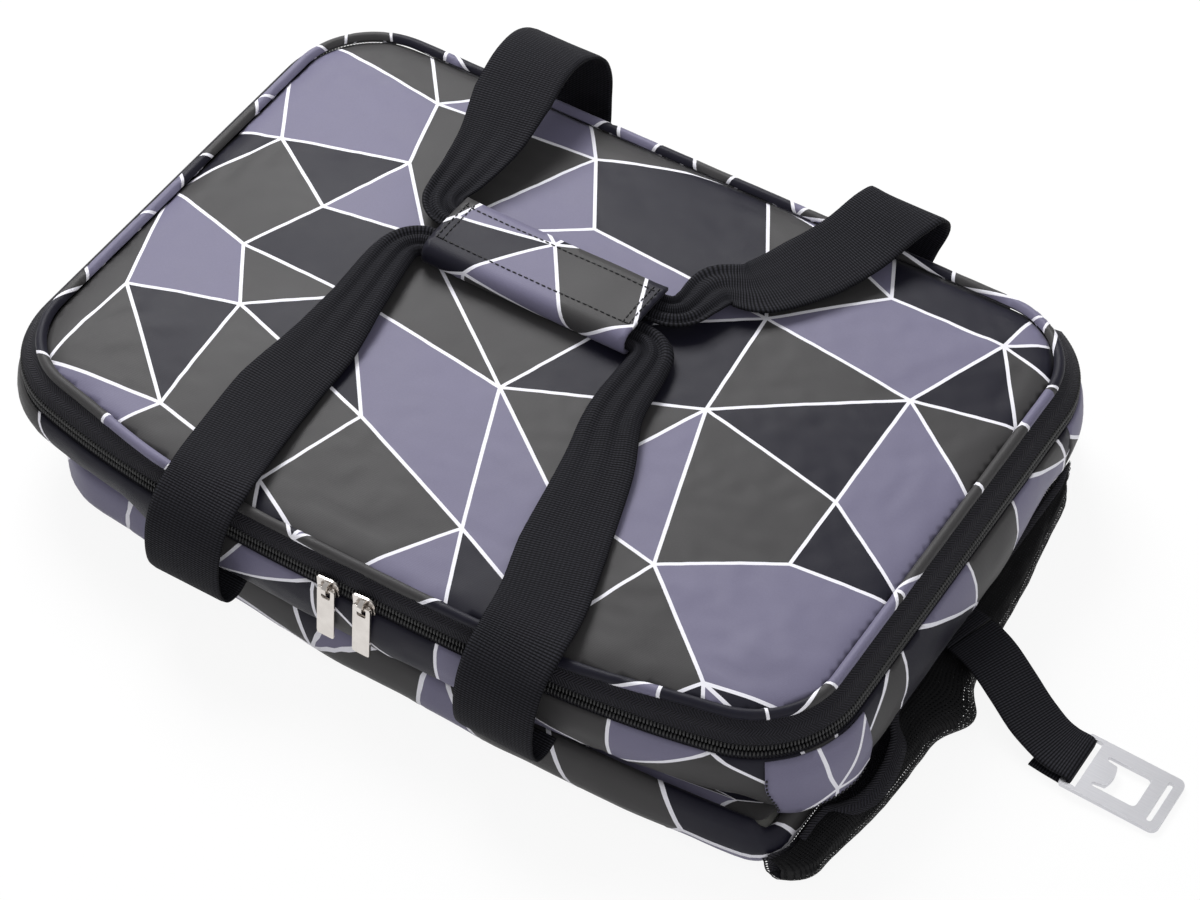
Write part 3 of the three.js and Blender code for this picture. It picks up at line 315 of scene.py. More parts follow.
@dataclass(frozen=True)
class MouldedNylon:
    """Black nylon, fairly glossy, for coils and hook tape."""

    colour: Colour = srgb("101012")
    roughness: float = 0.38
    grain_mm: float = 0.05

    def make(self) -> bpy.types.Material:
        """Build the material."""
        s = Shader("nylon")
        grain = s.noise(s.place(), 2200.0, 2.0)
        cloud = s.noise(s.place(), 60.0, 2.0)
        return s.finish(
            Base_Color=s.scaled(self.colour, 0.8 + 0.5 * cloud),
            Roughness=self.roughness + 0.14 * grain,
            Normal=s.bump(grain, 0.3, self.grain_mm),
        )


@dataclass(frozen=True)
class PolishedNickel:
    """Bright nickel plate with faint handling marks."""

    def make(self) -> bpy.types.Material:
        """Build the material."""
        s = Shader("polished nickel")
        cloud = s.noise(s.place(), 160.0, 4.0)
        marks = s.noise(s.place(), 1500.0, 5.0, 0.7)
        return s.finish(
            Base_Color=s.mixed(srgb("e9e4df"), srgb("cfc9c4"), cloud),
            Metallic=1.0,
            Roughness=0.12 + 0.14 * marks,
            Normal=s.bump(marks, 0.08, 0.05),
        )


@dataclass(frozen=True)
class BrushedSteel:
    """Stainless plate brushed along its length."""

    def make(self) -> bpy.types.Material:
        """Build the material."""
        s = Shader("brushed steel")
        stretch = s.node("ShaderNodeMapping", None, {"Vector": s.place(), "Scale": (90.0, 2600.0, 900.0)})
        brush = s.noise(stretch, 1.0, 4.0, 0.65)
        cloud = s.noise(s.place(), 70.0, 3.0)
        return s.finish(
            Base_Color=s.mixed(srgb("dedee1"), srgb("c4c4ca"), brush),
            Metallic=1.0,
            Roughness=0.3 + 0.16 * brush + 0.06 * cloud,
            Normal=s.bump(brush, 0.12, 0.05),
        )


@dataclass(frozen=True)
class Net:
    """Knitted net with open cells."""

    cell: float = 2.4
    thread: float = 0.74
    colour: Colour = srgb("0c0c0e")

    def make(self) -> bpy.types.Material:
        """Build the material."""
        s = Shader("net")
        u, v = s.uv()
        along = 2 * math.pi / self.cell
        cells = (u * along).sine() * (v * along * 0.8).sine()
        grain = s.noise(s.place(), 1500.0, 2.0)
        hole = cells.size().between(self.thread, self.thread + 0.1)
        return s.finish(
            Base_Color=s.scaled(self.colour, 0.7 + 0.7 * grain),
            Roughness=0.66 + 0.1 * grain,
            Alpha=1.0 - hole,
            Normal=s.bump(cells.size(), 0.5, 0.3),
            Specular_IOR_Level=0.2,
        )


@dataclass(frozen=True)
class SilverFilm:
    """Heat-sealed silver-grey lining film with small creases."""

    def make(self) -> bpy.types.Material:
        """Build the material."""
        s = Shader("lining film")
        crease = s.noise(s.place(), 45.0, 6.0, 0.62)
        fine = s.noise(s.place(), 380.0, 3.0)
        return s.finish(
            Base_Color=s.mixed(srgb("b9bcc2"), srgb("d0d3d8"), crease),
            Metallic=0.35,
            Roughness=0.3 + 0.2 * fine,
            Normal=s.bump(crease + 0.2 * fine, 0.5, 1.6),
        )


@dataclass(frozen=True)
class FoamSheet:
    """Closed-cell foam, seen at cut edges only."""

    colour: Colour = srgb("dcdcd6")

    def make(self) -> bpy.types.Material:
        """Build the material."""
        s = Shader("foam")
        cells = s.noise(s.place(), 700.0, 4.0)
        cloud = s.noise(s.place(), 20.0, 2.0)
        return s.finish(
            Base_Color=s.scaled(self.colour, 0.8 + 0.2 * cloud + 0.1 * cells),
            Roughness=0.85 + 0.1 * cells,
            Normal=s.bump(cells, 0.5, 0.3),
        )


@dataclass(frozen=True)
class Thread:
    """Twisted polyester thread."""

    colour: Colour = srgb("0d0d0f")

    def make(self) -> bpy.types.Material:
        """Build the material."""
        s = Shader("thread")
        grain = s.noise(s.place(), 2600.0, 2.0)
        return s.finish(
            Base_Color=s.scaled(self.colour, 0.7 + 0.8 * grain),
            Roughness=0.5 + 0.15 * grain,
            Normal=s.bump(grain, 0.4, 0.08),
        )


@dataclass(frozen=True)
class PaleFloor:
    """White studio floor that keeps a soft shadow."""

    glow: float = 0.9

    def make(self) -> bpy.types.Material:
        """Build the material: lit paint, with part of it replaced by plain white for what looks at it."""
        s = Shader("floor")
        cloud = s.noise(s.place(), 3.0, 2.0)
        s.finish(Base_Color=s.scaled((0.9, 0.9, 0.9), 0.98 + 0.03 * cloud), Roughness=0.9)
        rays = [s.node("ShaderNodeLightPath", output=name)
                for name in ("Is Camera Ray", "Is Glossy Ray", "Is Transmission Ray")]
        seen = s.node("ShaderNodeMath", {"operation": "MINIMUM"}, {0: rays[0] + rays[1] + rays[2], 1: 1.0})
        white = s.node("ShaderNodeEmission", None, {"Color": (1.0, 1.0, 1.0), "Strength": 1.0})
        painted = Signal(s, s.surface.outputs[0])
        both = s.node("ShaderNodeMixShader", None, {0: seen * self.glow, 1: painted, 2: white})
        s.tree.links.new(both.socket, s.output.inputs["Surface"])
        return s.material


class Finish(Enum):
    """The finishes of the bag."""

    PRINT = PrintedTwill()
    WEBBING = Webbing()
    TAPE = HerringboneTape()
    NYLON = MouldedNylon()
    NICKEL = PolishedNickel()
    STEEL = BrushedSteel()
    NET = Net()
    FILM = SilverFilm()
    FOAM = FoamSheet()
    THREAD = Thread()
    FLOOR = PaleFloor()

    def material(self) -> bpy.types.Material:
        """The finish's material, made once."""
        if self.name not in _MADE:
            _MADE[self.name] = self.value.make()
        return _MADE[self.name]


_MADE: dict[str, bpy.types.Material] = {}


# Meshes


@dataclass
class Surface:
    """Vertices in millimetres with cloth coordinates, faces, and an ink for each face."""

    points: list[Vec3] = field(default_factory=list)
    cloth: list[Vec2] = field(default_factory=list)
    faces: list[tuple[int, ...]] = field(default_factory=list)
    inks: list[Colour] = field(default_factory=list)

    def add_grid(self, rows: Sequence[Sequence[Vec3]], cloth: Sequence[Sequence[Vec2]],
                 closed: bool = False, looped: bool = False) -> None:
        """Add a grid of quads.

        Args:
            rows: rows of points, all of one length.
            cloth: cloth coordinates of the same shape.
            closed: each row's last point joins its first.
            looped: the last row joins the first.
        """
        base, width = len(self.points), len(rows[0])
        for row, coordinates in zip(rows, cloth):
            self.points.extend(row)
            self.cloth.extend(coordinates)
        for i in range(len(rows) if looped else len(rows) - 1):
            a, b = base + i * width, base + ((i + 1) % len(rows)) * width
            for j in range(width if closed else width - 1):
                k = (j + 1) % width
                self.faces.append((a + j, a + k, b + k, b + j))

    def build(self, name: str, finish: Finish, slot: str) -> bpy.types.Object:
        """Make the Blender object, with its finish."""
        mesh = bpy.data.meshes.new(name)
        mesh.from_pydata([tuple(c * MM for c in p) for p in self.points], [], self.faces)
        layer = mesh.uv_layers.new(name="cloth")
        corners = np.zeros(len(mesh.loops), dtype=np.int64)
        mesh.loops.foreach_get("vertex_index", corners)
        layer.data.foreach_set("uv", (np.array(self.cloth)[corners] * MM).ravel())
        if self.inks:
            ink = mesh.color_attributes.new("ink", "FLOAT_COLOR", "CORNER")
            sizes = [len(f) for f in self.faces]
            colours = np.repeat(np.array([(*c, 1.0) for c in self.inks]), sizes, axis=0)
            ink.data.foreach_set("color", colours.ravel())
        mesh.shade_smooth()
        mesh.update()
        obj = bpy.data.objects.new(name, mesh)
        bpy.context.scene.collection.objects.link(obj)
        obj.data.materials.append(finish.material())
        return obj


def add_modifier(obj: bpy.types.Object, kind: str, **settings: object) -> bpy.types.Object:
    """Give an object a modifier with the given settings."""
    modifier = obj.modifiers.new(kind.lower(), kind)
    for key, value in settings.items():
        setattr(modifier, key, value)
    return obj


def thicken(obj: bpy.types.Object, thick_mm: float, offset: float = -1.0) -> bpy.types.Object:
    """Give a sheet its thickness."""
    return add_modifier(obj, "SOLIDIFY", thickness=thick_mm * MM, offset=offset)


@dataclass(frozen=True)
class Seam:
    """A row of stitches: short threads with gaps between them."""

    pitch: float = 3.0
    stitch: float = 2.1
    radius: float = 0.3

    def add(self, surface: Surface, line: Sequence[Vec3]) -> None:
        """Lay the stitches along a line."""
        points = np.array(line)
        far = np.concatenate([[0.0], np.cumsum(np.linalg.norm(np.diff(points, axis=0), axis=1))])

        def at(t: float) -> Vector:
            """Point at a distance along the line."""
            return Vector([float(np.interp(t, far, points[:, k])) for k in range(3)])

        for k in range(int(far[-1] / self.pitch)):
            start = (k + 0.15) * self.pitch
            a, b = at(start), at(start + self.stitch)
            along = (b - a).normalized()
            side = along.orthogonal().normalized()
            up = along.cross(side)
            rings = [[tuple(a.lerp(b, t) + (side * math.cos(w) + up * math.sin(w)) * self.radius * girth)
                      for w in (0.0, 1.26, 2.51, 3.77, 5.03)]
                     for t, girth in ((0, 0.4), (0.2, 1), (0.8, 1), (1, 0.4))]
            first = len(surface.points)
            surface.add_grid(rings, [[(0.0, 0.0)] * 5 for _ in rings], closed=True)
            surface.faces.append(tuple(first + j for j in reversed(range(5))))
            surface.faces.append(tuple(first + 15 + j for j in range(5)))

    def laid(self, name: str, lines: Iterable[Sequence[Vec3]]) -> bpy.types.Object:
        """Make one object of the stitches along several lines."""
        surface = Surface()
        for line in lines:
            self.add(surface, line)
        return surface.build(name, Finish.THREAD, "black_webbing")


def lay_cloth(mesh: bpy.types.Mesh) -> None:
    """Give a mesh cloth coordinates by the side that each face looks to."""
    layer = mesh.uv_layers.new(name="cloth")
    for face in mesh.polygons:
        axis = max(range(3), key=lambda k: abs(face.normal[k]))
        u, v = [k for k in (1, 0, 2) if k != axis] if axis != 1 else [0, 2]
        for loop in face.loop_indices:
            at = mesh.vertices[mesh.loops[loop].vertex_index].co
            layer.data[loop].uv = (at[u], at[v])


def refined(node: str, finish: Finish, body: str, bevel_mm: float = 0.0) -> bpy.types.Object:
    """A smooth-shaded copy of a CAD node, with its edges softened, that stands for the node."""
    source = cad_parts[node]
    mesh = source.data.copy()
    mesh.materials.clear()
    obj = bpy.data.objects.new(f"{node}_dressed", mesh)
    bpy.context.scene.collection.objects.link(obj)
    merge = bmesh.new()
    merge.from_mesh(mesh)
    bmesh.ops.remove_doubles(merge, verts=merge.verts, dist=1e-6)
    bmesh.ops.dissolve_limit(merge, angle_limit=math.radians(0.5), verts=merge.verts, edges=merge.edges)
    merge.to_mesh(mesh)
    merge.free()
    mesh.materials.append(finish.material())
    lay_cloth(mesh)
    if bevel_mm:
        add_modifier(obj, "BEVEL", width=bevel_mm * MM, segments=3, limit_method="ANGLE",
                     angle_limit=math.radians(35), harden_normals=True)
    mesh.shade_smooth()
    mesh.set_sharp_from_angle(angle=math.radians(35))
    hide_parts(node)
    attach(obj, body)
    return obj


def settle(points: np.ndarray, faces: Sequence[tuple[int, ...]], pins: Sequence[int], fullness: np.ndarray,
           pressure: float) -> np.ndarray:
    """Let a sheet of cloth settle, held where it is sewn down.

    Args:
        points: where the cloth starts, in millimetres.
        faces: its faces.
        pins: the points that are sewn down.
        fullness: 0 to 1 for each point, how much spare cloth it has.
        pressure: how hard the padding pushes outwards.

    Returns:
        How far each point moves.
    """
    mesh = bpy.data.meshes.new("settling")
    mesh.from_pydata([tuple(p) for p in points * MM], [], list(faces))
    obj = bpy.data.objects.new("settling", mesh)
    scene = bpy.context.scene
    scene.collection.objects.link(obj)
    sewn = obj.vertex_groups.new(name="sewn")
    sewn.add(list(pins), 1.0, "REPLACE")
    spare = obj.vertex_groups.new(name="spare")
    for k, share in enumerate(fullness):
        spare.add([k], float(share), "REPLACE")
    modifier = obj.modifiers.new("cloth", "CLOTH")
    cloth = modifier.settings
    for key, value in {"quality": 6, "mass": 0.006, "tension_stiffness": 12.0, "compression_stiffness": 12.0,
                       "shear_stiffness": 4.0, "bending_stiffness": 0.04, "vertex_group_mass": "sewn",
                       "vertex_group_shrink": "spare", "shrink_min": 0.0, "shrink_max": -0.16,
                       "use_pressure": True, "uniform_pressure_force": pressure}.items():
        setattr(cloth, key, value)
    cloth.effector_weights.gravity = 0.0
    modifier.point_cache.frame_end = 20
    for step in range(1, 21):
        scene.frame_set(step)
    settled = obj.evaluated_get(bpy.context.evaluated_depsgraph_get())
    ends = np.zeros(len(points) * 3)
    settled.data.vertices.foreach_get("co", ends)
    scene.frame_set(1)
    bpy.data.objects.remove(obj)
    return ends.reshape(-1, 3) / MM - points


# Outlines


@dataclass
class Place:
    """A place on an outline: where it is, which way is out, and how far along it lies."""

    x: float
    y: float
    nx: float
    ny: float
    s: float

    def out(self, offset: float, z: float) -> Vec3:
        """Point that lies offset outwards from the outline, at height z."""
        return (self.x + self.nx * offset, self.y + self.ny * offset, z)


@dataclass(frozen=True)
class Bow:
    """How the front of an outline bows out: where it stands out most, and how far its ends lie back."""

    peak: float
    rise: Vec2
    power: float

    def end(self, corner_x: float, radius: float, side: int) -> Vec2:
        """The front's angle where it meets a corner, and that place's distance from the peak."""
        angle = reach = 0.0
        for _ in range(6):
            reach = abs(corner_x - self.peak) + radius * math.sin(angle)
            angle = math.atan(self.power * self.rise[side] / reach)
        return angle, reach


@dataclass
class Outline:
    """Rounded rectangle, counter-clockwise from the right-hand end of the rear right corner."""

    left: float
    right: float
    front: float
    rear: float
    radii: tuple[float, float, float, float]
    bow: Bow

    def __post_init__(self) -> None:
        """Trace the outline once, about every millimetre."""
        r, bow = self.radii, self.bow
        left_x, right_x = self.left + r[2], self.right - r[3]
        ends = (bow.end(left_x, r[2], 0), bow.end(right_x, r[3], 1))
        self.reach = (ends[0][1], ends[1][1])
        depth = [self.front + bow.rise[i] + r[i + 2] * math.cos(ends[i][0]) for i in (0, 1)]
        corners = [(self.right - r[0], self.rear - r[0], r[0], 0.0, 90.0),
                   (self.left + r[1], self.rear - r[1], r[1], 90.0, 180.0),
                   (left_x, depth[0], r[2], 180.0, 270.0 - math.degrees(ends[0][0])),
                   (right_x, depth[1], r[3], 270.0 + math.degrees(ends[1][0]), 360.0)]
        trace: list[Vec2] = []
        self.marks: list[int] = []
        for side, (cx, cy, radius, start, stop) in enumerate(corners):
            self.marks.append(len(trace))
            for k in range(61):
                a = math.radians(mix(start, stop, k / 60))
                trace.append((cx + radius * math.cos(a), cy + radius * math.sin(a)))
            nx, ny, nr, nstart, _ = corners[(side + 1) % 4]
            end = (nx + nr * math.cos(math.radians(nstart)), ny + nr * math.sin(math.radians(nstart)))
            begin = trace[-1]
            count = max(2, int(math.dist(begin, end)))
            for k in range(1, count):
                x, y = mix(begin[0], end[0], k / count), mix(begin[1], end[1], k / count)
                trace.append((x, self.front_at(x) if side == 2 else y))
        line = np.array(trace + [trace[0]])
        steps = np.hypot(*np.diff(line, axis=0).T)
        self.distance = np.concatenate([[0.0], np.cumsum(steps)])
        self.line = line
        self.length = float(self.distance[-1])
        self.knots = [float(self.distance[m + e]) for m in self.marks for e in (0, 60)] + [self.length]

    def front_at(self, x: float) -> float:
        """Y of the front edge at x."""
        side = 0 if x < self.bow.peak else 1
        away = abs(x - self.bow.peak) / self.reach[side]
        return self.front + self.bow.rise[side] * away ** self.bow.power

    def nearest(self, x: float, y: float) -> float:
        """Distance along the outline of its place nearest to a point."""
        return float(self.distance[int(np.argmin(np.hypot(*(self.line - (x, y)).T)))])

    def matched(self, s: float, other: "Outline") -> float:
        """The distance along this outline that belongs to a distance along another one."""
        return float(np.interp(s, other.knots, self.knots))

    def mark(self, corner: int, degrees: float) -> float:
        """Distance along the outline of a place in a corner, by its angle from the corner's start."""
        return float(self.distance[self.marks[corner] + round(degrees / 1.5)])

    def at(self, s: float, soften: float = 2.0) -> Place:
        """Place at a distance along the outline."""
        def xy(t: float) -> Vec2:
            """Point at a distance along the outline."""
            t = t % self.length
            return (float(np.interp(t, self.distance, self.line[:, 0])),
                    float(np.interp(t, self.distance, self.line[:, 1])))
        (x, y), (ax, ay), (bx, by) = xy(s), xy(s - soften), xy(s + soften)
        tx, ty = bx - ax, by - ay
        size = math.hypot(tx, ty)
        return Place(x, y, ty / size, -tx / size, s)

    def places(self, step: float, start: float = 0.0, end: "float | None" = None) -> list[Place]:
        """Places at about every step from start to end, or all round without the closing one."""
        span = self.length if end is None else end - start
        count = max(2, round(span / step))
        last = count if end is None else count + 1
        return [self.at(start + span * k / count) for k in range(last)]


# The print


class Ink(Enum):
    """The inks of the print."""

    LIGHT = INK_LIGHT
    DARK = INK_DARK
    GREY = INK_GREY
    LINE = INK_LINE


@dataclass
class Print:
    """A layout of straight-sided patches with pale lines between them, drawn on a flat rectangle."""

    width: float
    height: float
    seed: int
    spacing: float = 62.0
    line: float = 1.6
    margin: float = 70.0

    def __post_init__(self) -> None:
        """Scatter the corners, join them into patches and ink them."""
        rng = random.Random(self.seed)
        corners = self._scatter(rng)
        _, _, triangles, *_ = geometry.delaunay_2d_cdt([Vector(c) for c in corners], [], [], 0, 1e-6)
        patches = self._merge(corners, [tuple(t) for t in triangles], rng)
        self.patches = [[corners[i] for i in patch] for patch in patches]
        self.inks = self._ink(patches, rng)

    def _scatter(self, rng: random.Random) -> list[Vec2]:
        """Corners at least a spacing apart, at random."""
        low, high = -self.margin, self.margin
        corners: list[Vec2] = []
        area = (self.width + 2 * high) * (self.height + 2 * high)
        for _ in range(int(area / self.spacing ** 2 * 40)):
            p = (rng.uniform(low, self.width + high), rng.uniform(low, self.height + high))
            if all(math.dist(p, q) > self.spacing * (0.72 + 0.4 * noise.noise((*q, 3.0))) for q in corners):
                corners.append(p)
        return corners

    @staticmethod
    def _convex(loop: Sequence[Vec2]) -> bool:
        """Whether a loop turns one way only, with no corner near a straight line."""
        for k in range(len(loop)):
            a, b, c = Vector(loop[k - 1]), Vector(loop[k]), Vector(loop[(k + 1) % len(loop)])
            d, e = (b - a).normalized(), (c - b).normalized()
            if d.x * e.y - d.y * e.x < 0.12:
                return False
        return True

    def _merge(self, corners: Sequence[Vec2], triangles: list[tuple[int, ...]],
               rng: random.Random) -> list[tuple[int, ...]]:
        """Join about half of the triangles in pairs, and some pairs with a third."""
        loops = []
        for t in triangles:
            (ax, ay), (bx, by), (cx, cy) = (corners[i] for i in t)
            turn = (bx - ax) * (cy - ay) - (by - ay) * (cx - ax)
            loops.append(tuple(t) if turn > 0 else tuple(reversed(t)))
        for sides, chance in ((3, 0.46), (4, 0.14)):
            owner = {frozenset((loop[k - 1], loop[k])): [] for loop in loops for k in range(len(loop))}
            for n, loop in enumerate(loops):
                for k in range(len(loop)):
                    owner[frozenset((loop[k - 1], loop[k]))].append(n)
            shared = sorted((edge for edge, who in owner.items() if len(who) == 2), key=sorted)
            rng.shuffle(shared)
            used: set[int] = set()
            joined: list[tuple[int, ...]] = []
            for edge in shared:
                m, n = owner[edge]
                fits = sorted((len(loops[m]), len(loops[n]))) == sorted((sides, 3))
                if not fits or m in used or n in used or rng.random() > chance:
                    continue
                whole = self._union(loops[m], loops[n], edge)
                if self._convex([corners[i] for i in whole]):
                    used.update((m, n))
                    joined.append(whole)
            loops = [loop for n, loop in enumerate(loops) if n not in used] + joined
        return loops

    @staticmethod
    def _union(a: tuple[int, ...], b: tuple[int, ...], edge: frozenset) -> tuple[int, ...]:
        """Loop round two loops that share an edge."""
        def turned(loop: tuple[int, ...]) -> tuple[int, ...]:
            """The loop, turned so that the shared edge closes it."""
            k = next(i for i in range(len(loop)) if {loop[i - 1], loop[i]} == set(edge))
            return loop[k:] + loop[:k]
        return turned(a) + turned(b)[1:-1]

    def _ink(self, patches: Sequence[tuple[int, ...]], rng: random.Random) -> list[Ink]:
        """An ink for each patch, rarely the same as a neighbour's."""
        edges: dict[frozenset, list[int]] = {}
        for n, patch in enumerate(patches):
            for k in range(len(patch)):
                edges.setdefault(frozenset((patch[k - 1], patch[k])), []).append(n)
        near: list[set[int]] = [set() for _ in patches]
        for who in edges.values():
            for m in who:
                near[m].update(w for w in who if w != m)
        inks: list[Ink | None] = [None] * len(patches)
        order = list(range(len(patches)))
        rng.shuffle(order)
        for n in order:
            taken = [inks[m] for m in near[n]]
            choices = {Ink.LIGHT: 1.5, Ink.GREY: 1.0, Ink.DARK: 0.95}
            weights = [w * 0.12 ** taken.count(ink) for ink, w in choices.items()]
            inks[n] = rng.choices(list(choices), weights)[0]
        return inks

    def inset(self, patch: Sequence[Vec2]) -> list[Vec2]:
        """A patch drawn in by half a line's width on every side."""
        half, count = self.line / 2, len(patch)
        sides = []
        for k in range(count):
            a, b = Vector(patch[k]), Vector(patch[(k + 1) % count])
            d = (b - a).normalized()
            inward = Vector((-d.y, d.x))
            sides.append((a + inward * half, b + inward * half))
        loop = []
        for k in range(count):
            hit = geometry.intersect_line_line_2d(*self._stretched(sides[k - 1]), *self._stretched(sides[k]))
            loop.append(tuple(hit) if hit else tuple(sides[k][0]))
        return loop

    @staticmethod
    def _stretched(side: tuple[Vector, Vector]) -> tuple[Vector, Vector]:
        """A side made longer at both ends."""
        a, b = side
        d = (b - a) * 0.5
        return a - d, b + d

    def cut(self, boundary: Sequence[Vec2], grid: Sequence[Vec2], step: float) -> "PrintedSheet":
        """Lay the print on a flat piece of cloth.

        Args:
            boundary: the piece's outline, closed.
            grid: points inside it that give it its surface.
            step: longest edge along a line of the print.

        Returns:
            The flat mesh, with an ink for each triangle.
        """
        corners: list[Vec2] = []
        edges: list[tuple[int, int]] = []

        def add_loop(loop: Sequence[Vec2], longest: float) -> None:
            """Add a closed loop, cut into short edges."""
            first = len(corners)
            for k in range(len(loop)):
                a, b = loop[k], loop[(k + 1) % len(loop)]
                count = max(1, math.ceil(math.dist(a, b) / longest))
                corners.extend((mix(a[0], b[0], t / count), mix(a[1], b[1], t / count)) for t in range(count))
            edges.extend((i, i + 1) for i in range(first, len(corners) - 1))
            edges.append((len(corners) - 1, first))

        add_loop(boundary, 1e9)
        box = np.array([np.min(boundary, axis=0) - 4, np.max(boundary, axis=0) + 4])
        kept, loops = [], []
        for patch, ink in zip(self.patches, self.inks):
            corner = np.array(patch)
            if (corner.max(0) < box[0]).any() or (corner.min(0) > box[1]).any():
                continue
            loop = self.inset(patch)
            if self._convex_loose(loop):
                kept.append(ink)
                loops.append(loop)
                add_loop(loop, step)
        ends = np.array([(*corners[a], *corners[b]) for a, b in edges])
        free = [p for p in grid if _clear_of(p, ends, 1.3)]
        points = [Vector(c) for c in corners] + [Vector(p) for p in free]
        flat, _, triangles, *_ = geometry.delaunay_2d_cdt(points, edges, [], 0, 1e-5)
        return PrintedSheet.sorted_out([tuple(p) for p in flat], [tuple(t) for t in triangles],
                                       boundary, loops, kept)

    @staticmethod
    def _convex_loose(loop: Sequence[Vec2]) -> bool:
        """Whether an inset loop still runs counter-clockwise with some area left."""
        area = sum(a[0] * b[1] - a[1] * b[0] for a, b in zip(loop, [*loop[1:], loop[0]])) / 2
        return area > 30


def _clear_of(point: Vec2, ends: np.ndarray, gap: float) -> bool:
    """Whether a point lies at least a gap from all the edges."""
    a, b = ends[:, :2], ends[:, 2:]
    d = b - a
    length = np.maximum((d * d).sum(1), 1e-9)
    t = np.clip(((np.array(point) - a) * d).sum(1) / length, 0, 1)
    near = a + d * t[:, None]
    return bool((((near - np.array(point)) ** 2).sum(1) > gap * gap).all())


def _inside(points: np.ndarray, loop: np.ndarray) -> np.ndarray:
    """For each point, whether it lies inside a loop."""
    x, y = points[:, 0], points[:, 1]
    inside = np.zeros(len(points), dtype=bool)
    for (ax, ay), (bx, by) in zip(loop, np.roll(loop, -1, axis=0)):
        if ay == by:
            continue
        crosses = ((ay > y) != (by > y)) & (x < (bx - ax) * (y - ay) / (by - ay) + ax)
        inside ^= crosses
    return inside


@dataclass
class PrintedSheet:
    """A flat mesh of the print: points, triangles and inks."""

    points: list[Vec2]
    triangles: list[tuple[int, ...]]
    inks: list[Colour]

    @classmethod
    def sorted_out(cls, points: list[Vec2], triangles: list[tuple[int, ...]], boundary: Sequence[Vec2],
                   loops: Sequence[Sequence[Vec2]], inks: Sequence[Ink]) -> "PrintedSheet":
        """Keep the triangles inside the boundary and ink each by the patch that it lies in."""
        flat = np.array(points)
        index = np.array(triangles)
        centres = flat[index].mean(axis=1)
        keep = _inside(centres, np.array(boundary))
        index, centres = index[keep], centres[keep]
        colours = np.tile(np.array(Ink.LINE.value), (len(index), 1))
        for loop, ink in zip(loops, inks):
            colours[_inside(centres, np.array(loop))] = ink.value
        turn = np.cross(flat[index[:, 1]] - flat[index[:, 0]], flat[index[:, 2]] - flat[index[:, 0]])
        index[turn < 0] = index[turn < 0][:, ::-1]
        used, index = np.unique(index, return_inverse=True)
        index = index.reshape(-1, 3)
        return cls([points[i] for i in used], [tuple(int(i) for i in t) for t in index],
                   [tuple(c) for c in colours])

    def shaped(self, place: Callable[[float, float], Vec3]) -> Surface:
        """Bend the sheet into its place, by a function from cloth coordinates to space."""
        return Surface([place(u, v) for u, v in self.points], list(self.points), self.triangles, self.inks)


def grid_inside(boundary: Sequence[Vec2], step: float) -> list[Vec2]:
    """Staggered grid points inside a boundary, clear of its edge."""
    loop = np.array(boundary)
    (x0, y0), (x1, y1) = loop.min(0), loop.max(0)
    rows = []
    for j, y in enumerate(np.arange(y0 + step / 2, y1, step * 0.87)):
        shift = step / 2 if j % 2 else 0.0
        rows.extend((x + shift, y) for x in np.arange(x0, x1, step))
    points = np.array(rows)
    keep = _inside(points, loop)
    return [tuple(p) for p in points[keep]]


def printed_strip(print_: Print, length: float, height: float, step: float,
                  place: Callable[[float, float], Vec3]) -> Surface:
    """A printed strip of cloth, bent into its place.

    Args:
        print_: the print that it is cut from.
        length: how long it is.
        height: how wide it is.
        step: size of its mesh.
        place: function from cloth coordinates to space.

    Returns:
        The strip's surface.
    """
    across = max(2, round(height / step))
    along = max(2, round(length / step))
    bottom = [(length * k / along, 0.0) for k in range(along)]
    right = [(length, height * k / across) for k in range(across)]
    top = [(length * k / along, height) for k in range(along, 0, -1)]
    left = [(0.0, height * k / across) for k in range(across, 0, -1)]
    boundary = bottom + right + top + left
    return print_.cut(boundary, grid_inside(boundary, step), step).shaped(place)


# Sizes shared by the pieces, in millimetres, as in the CAD


@dataclass(frozen=True)
class Sizes:
    """Heights and offsets that several pieces meet at."""

    zip_z: float = 57.0
    coil_width: float = 2.6
    coil_split: float = 1.6
    tape_rise: float = 5.4
    lean_front: float = 4.4
    lean_side: float = 8.0
    piping_r: float = 2.5
    crown: float = 6.0
    band_top_offset: float = 2.3
    band_bulge: float = 4.6
    band_flare: float = 4.0
    band_tuck: float = 1.0
    rim_drop: float = 7.0
    left_rise: float = 6.0
    travel: float = 228.0
    gap: float = 0.35

    @property
    def lid_coil_z(self) -> float:
        """Bottom of the lid's coil row."""
        return self.zip_z + self.coil_split / 2

    @property
    def lid_tape_z(self) -> float:
        """Bottom of the lid's tape."""
        return self.lid_coil_z + self.coil_width + self.gap

    @property
    def rim_coil_z(self) -> float:
        """Bottom of the rim's coil row."""
        return self.zip_z - self.coil_split / 2 - self.coil_width

    @property
    def piping_z(self) -> float:
        """Height of the piping's middle."""
        return self.lid_tape_z + self.tape_rise + self.piping_r

    @property
    def rim_top_z(self) -> float:
        """Top of the rim band."""
        return self.zip_z - (2 * self.coil_width + self.coil_split + 2.8) / 2 - self.gap

    @property
    def rim_bottom_z(self) -> float:
        """Hem of the rim band."""
        return self.zip_z - 27.5


SIZE = Sizes()
ZIP = Outline(-205, 205, -153.5, 137, (48, 48, 48, 48), Bow(0, (13.2, 13.2), 3))
BASE = Outline(-186, 202, -157.5, 143, (36, 46, 46, 16), Bow(80, (15, 6), 2))
INNER = Outline(-170, 186, -141.5, 127, (40, 40, 40, 40), Bow(80, (15, 6), 2))


def front_share(p: Place) -> float:
    """1 on the flat middle of the front, 0 from its ends on."""
    return smooth((157 - abs(p.x)) / 62) if p.ny < -0.6 else 0.0


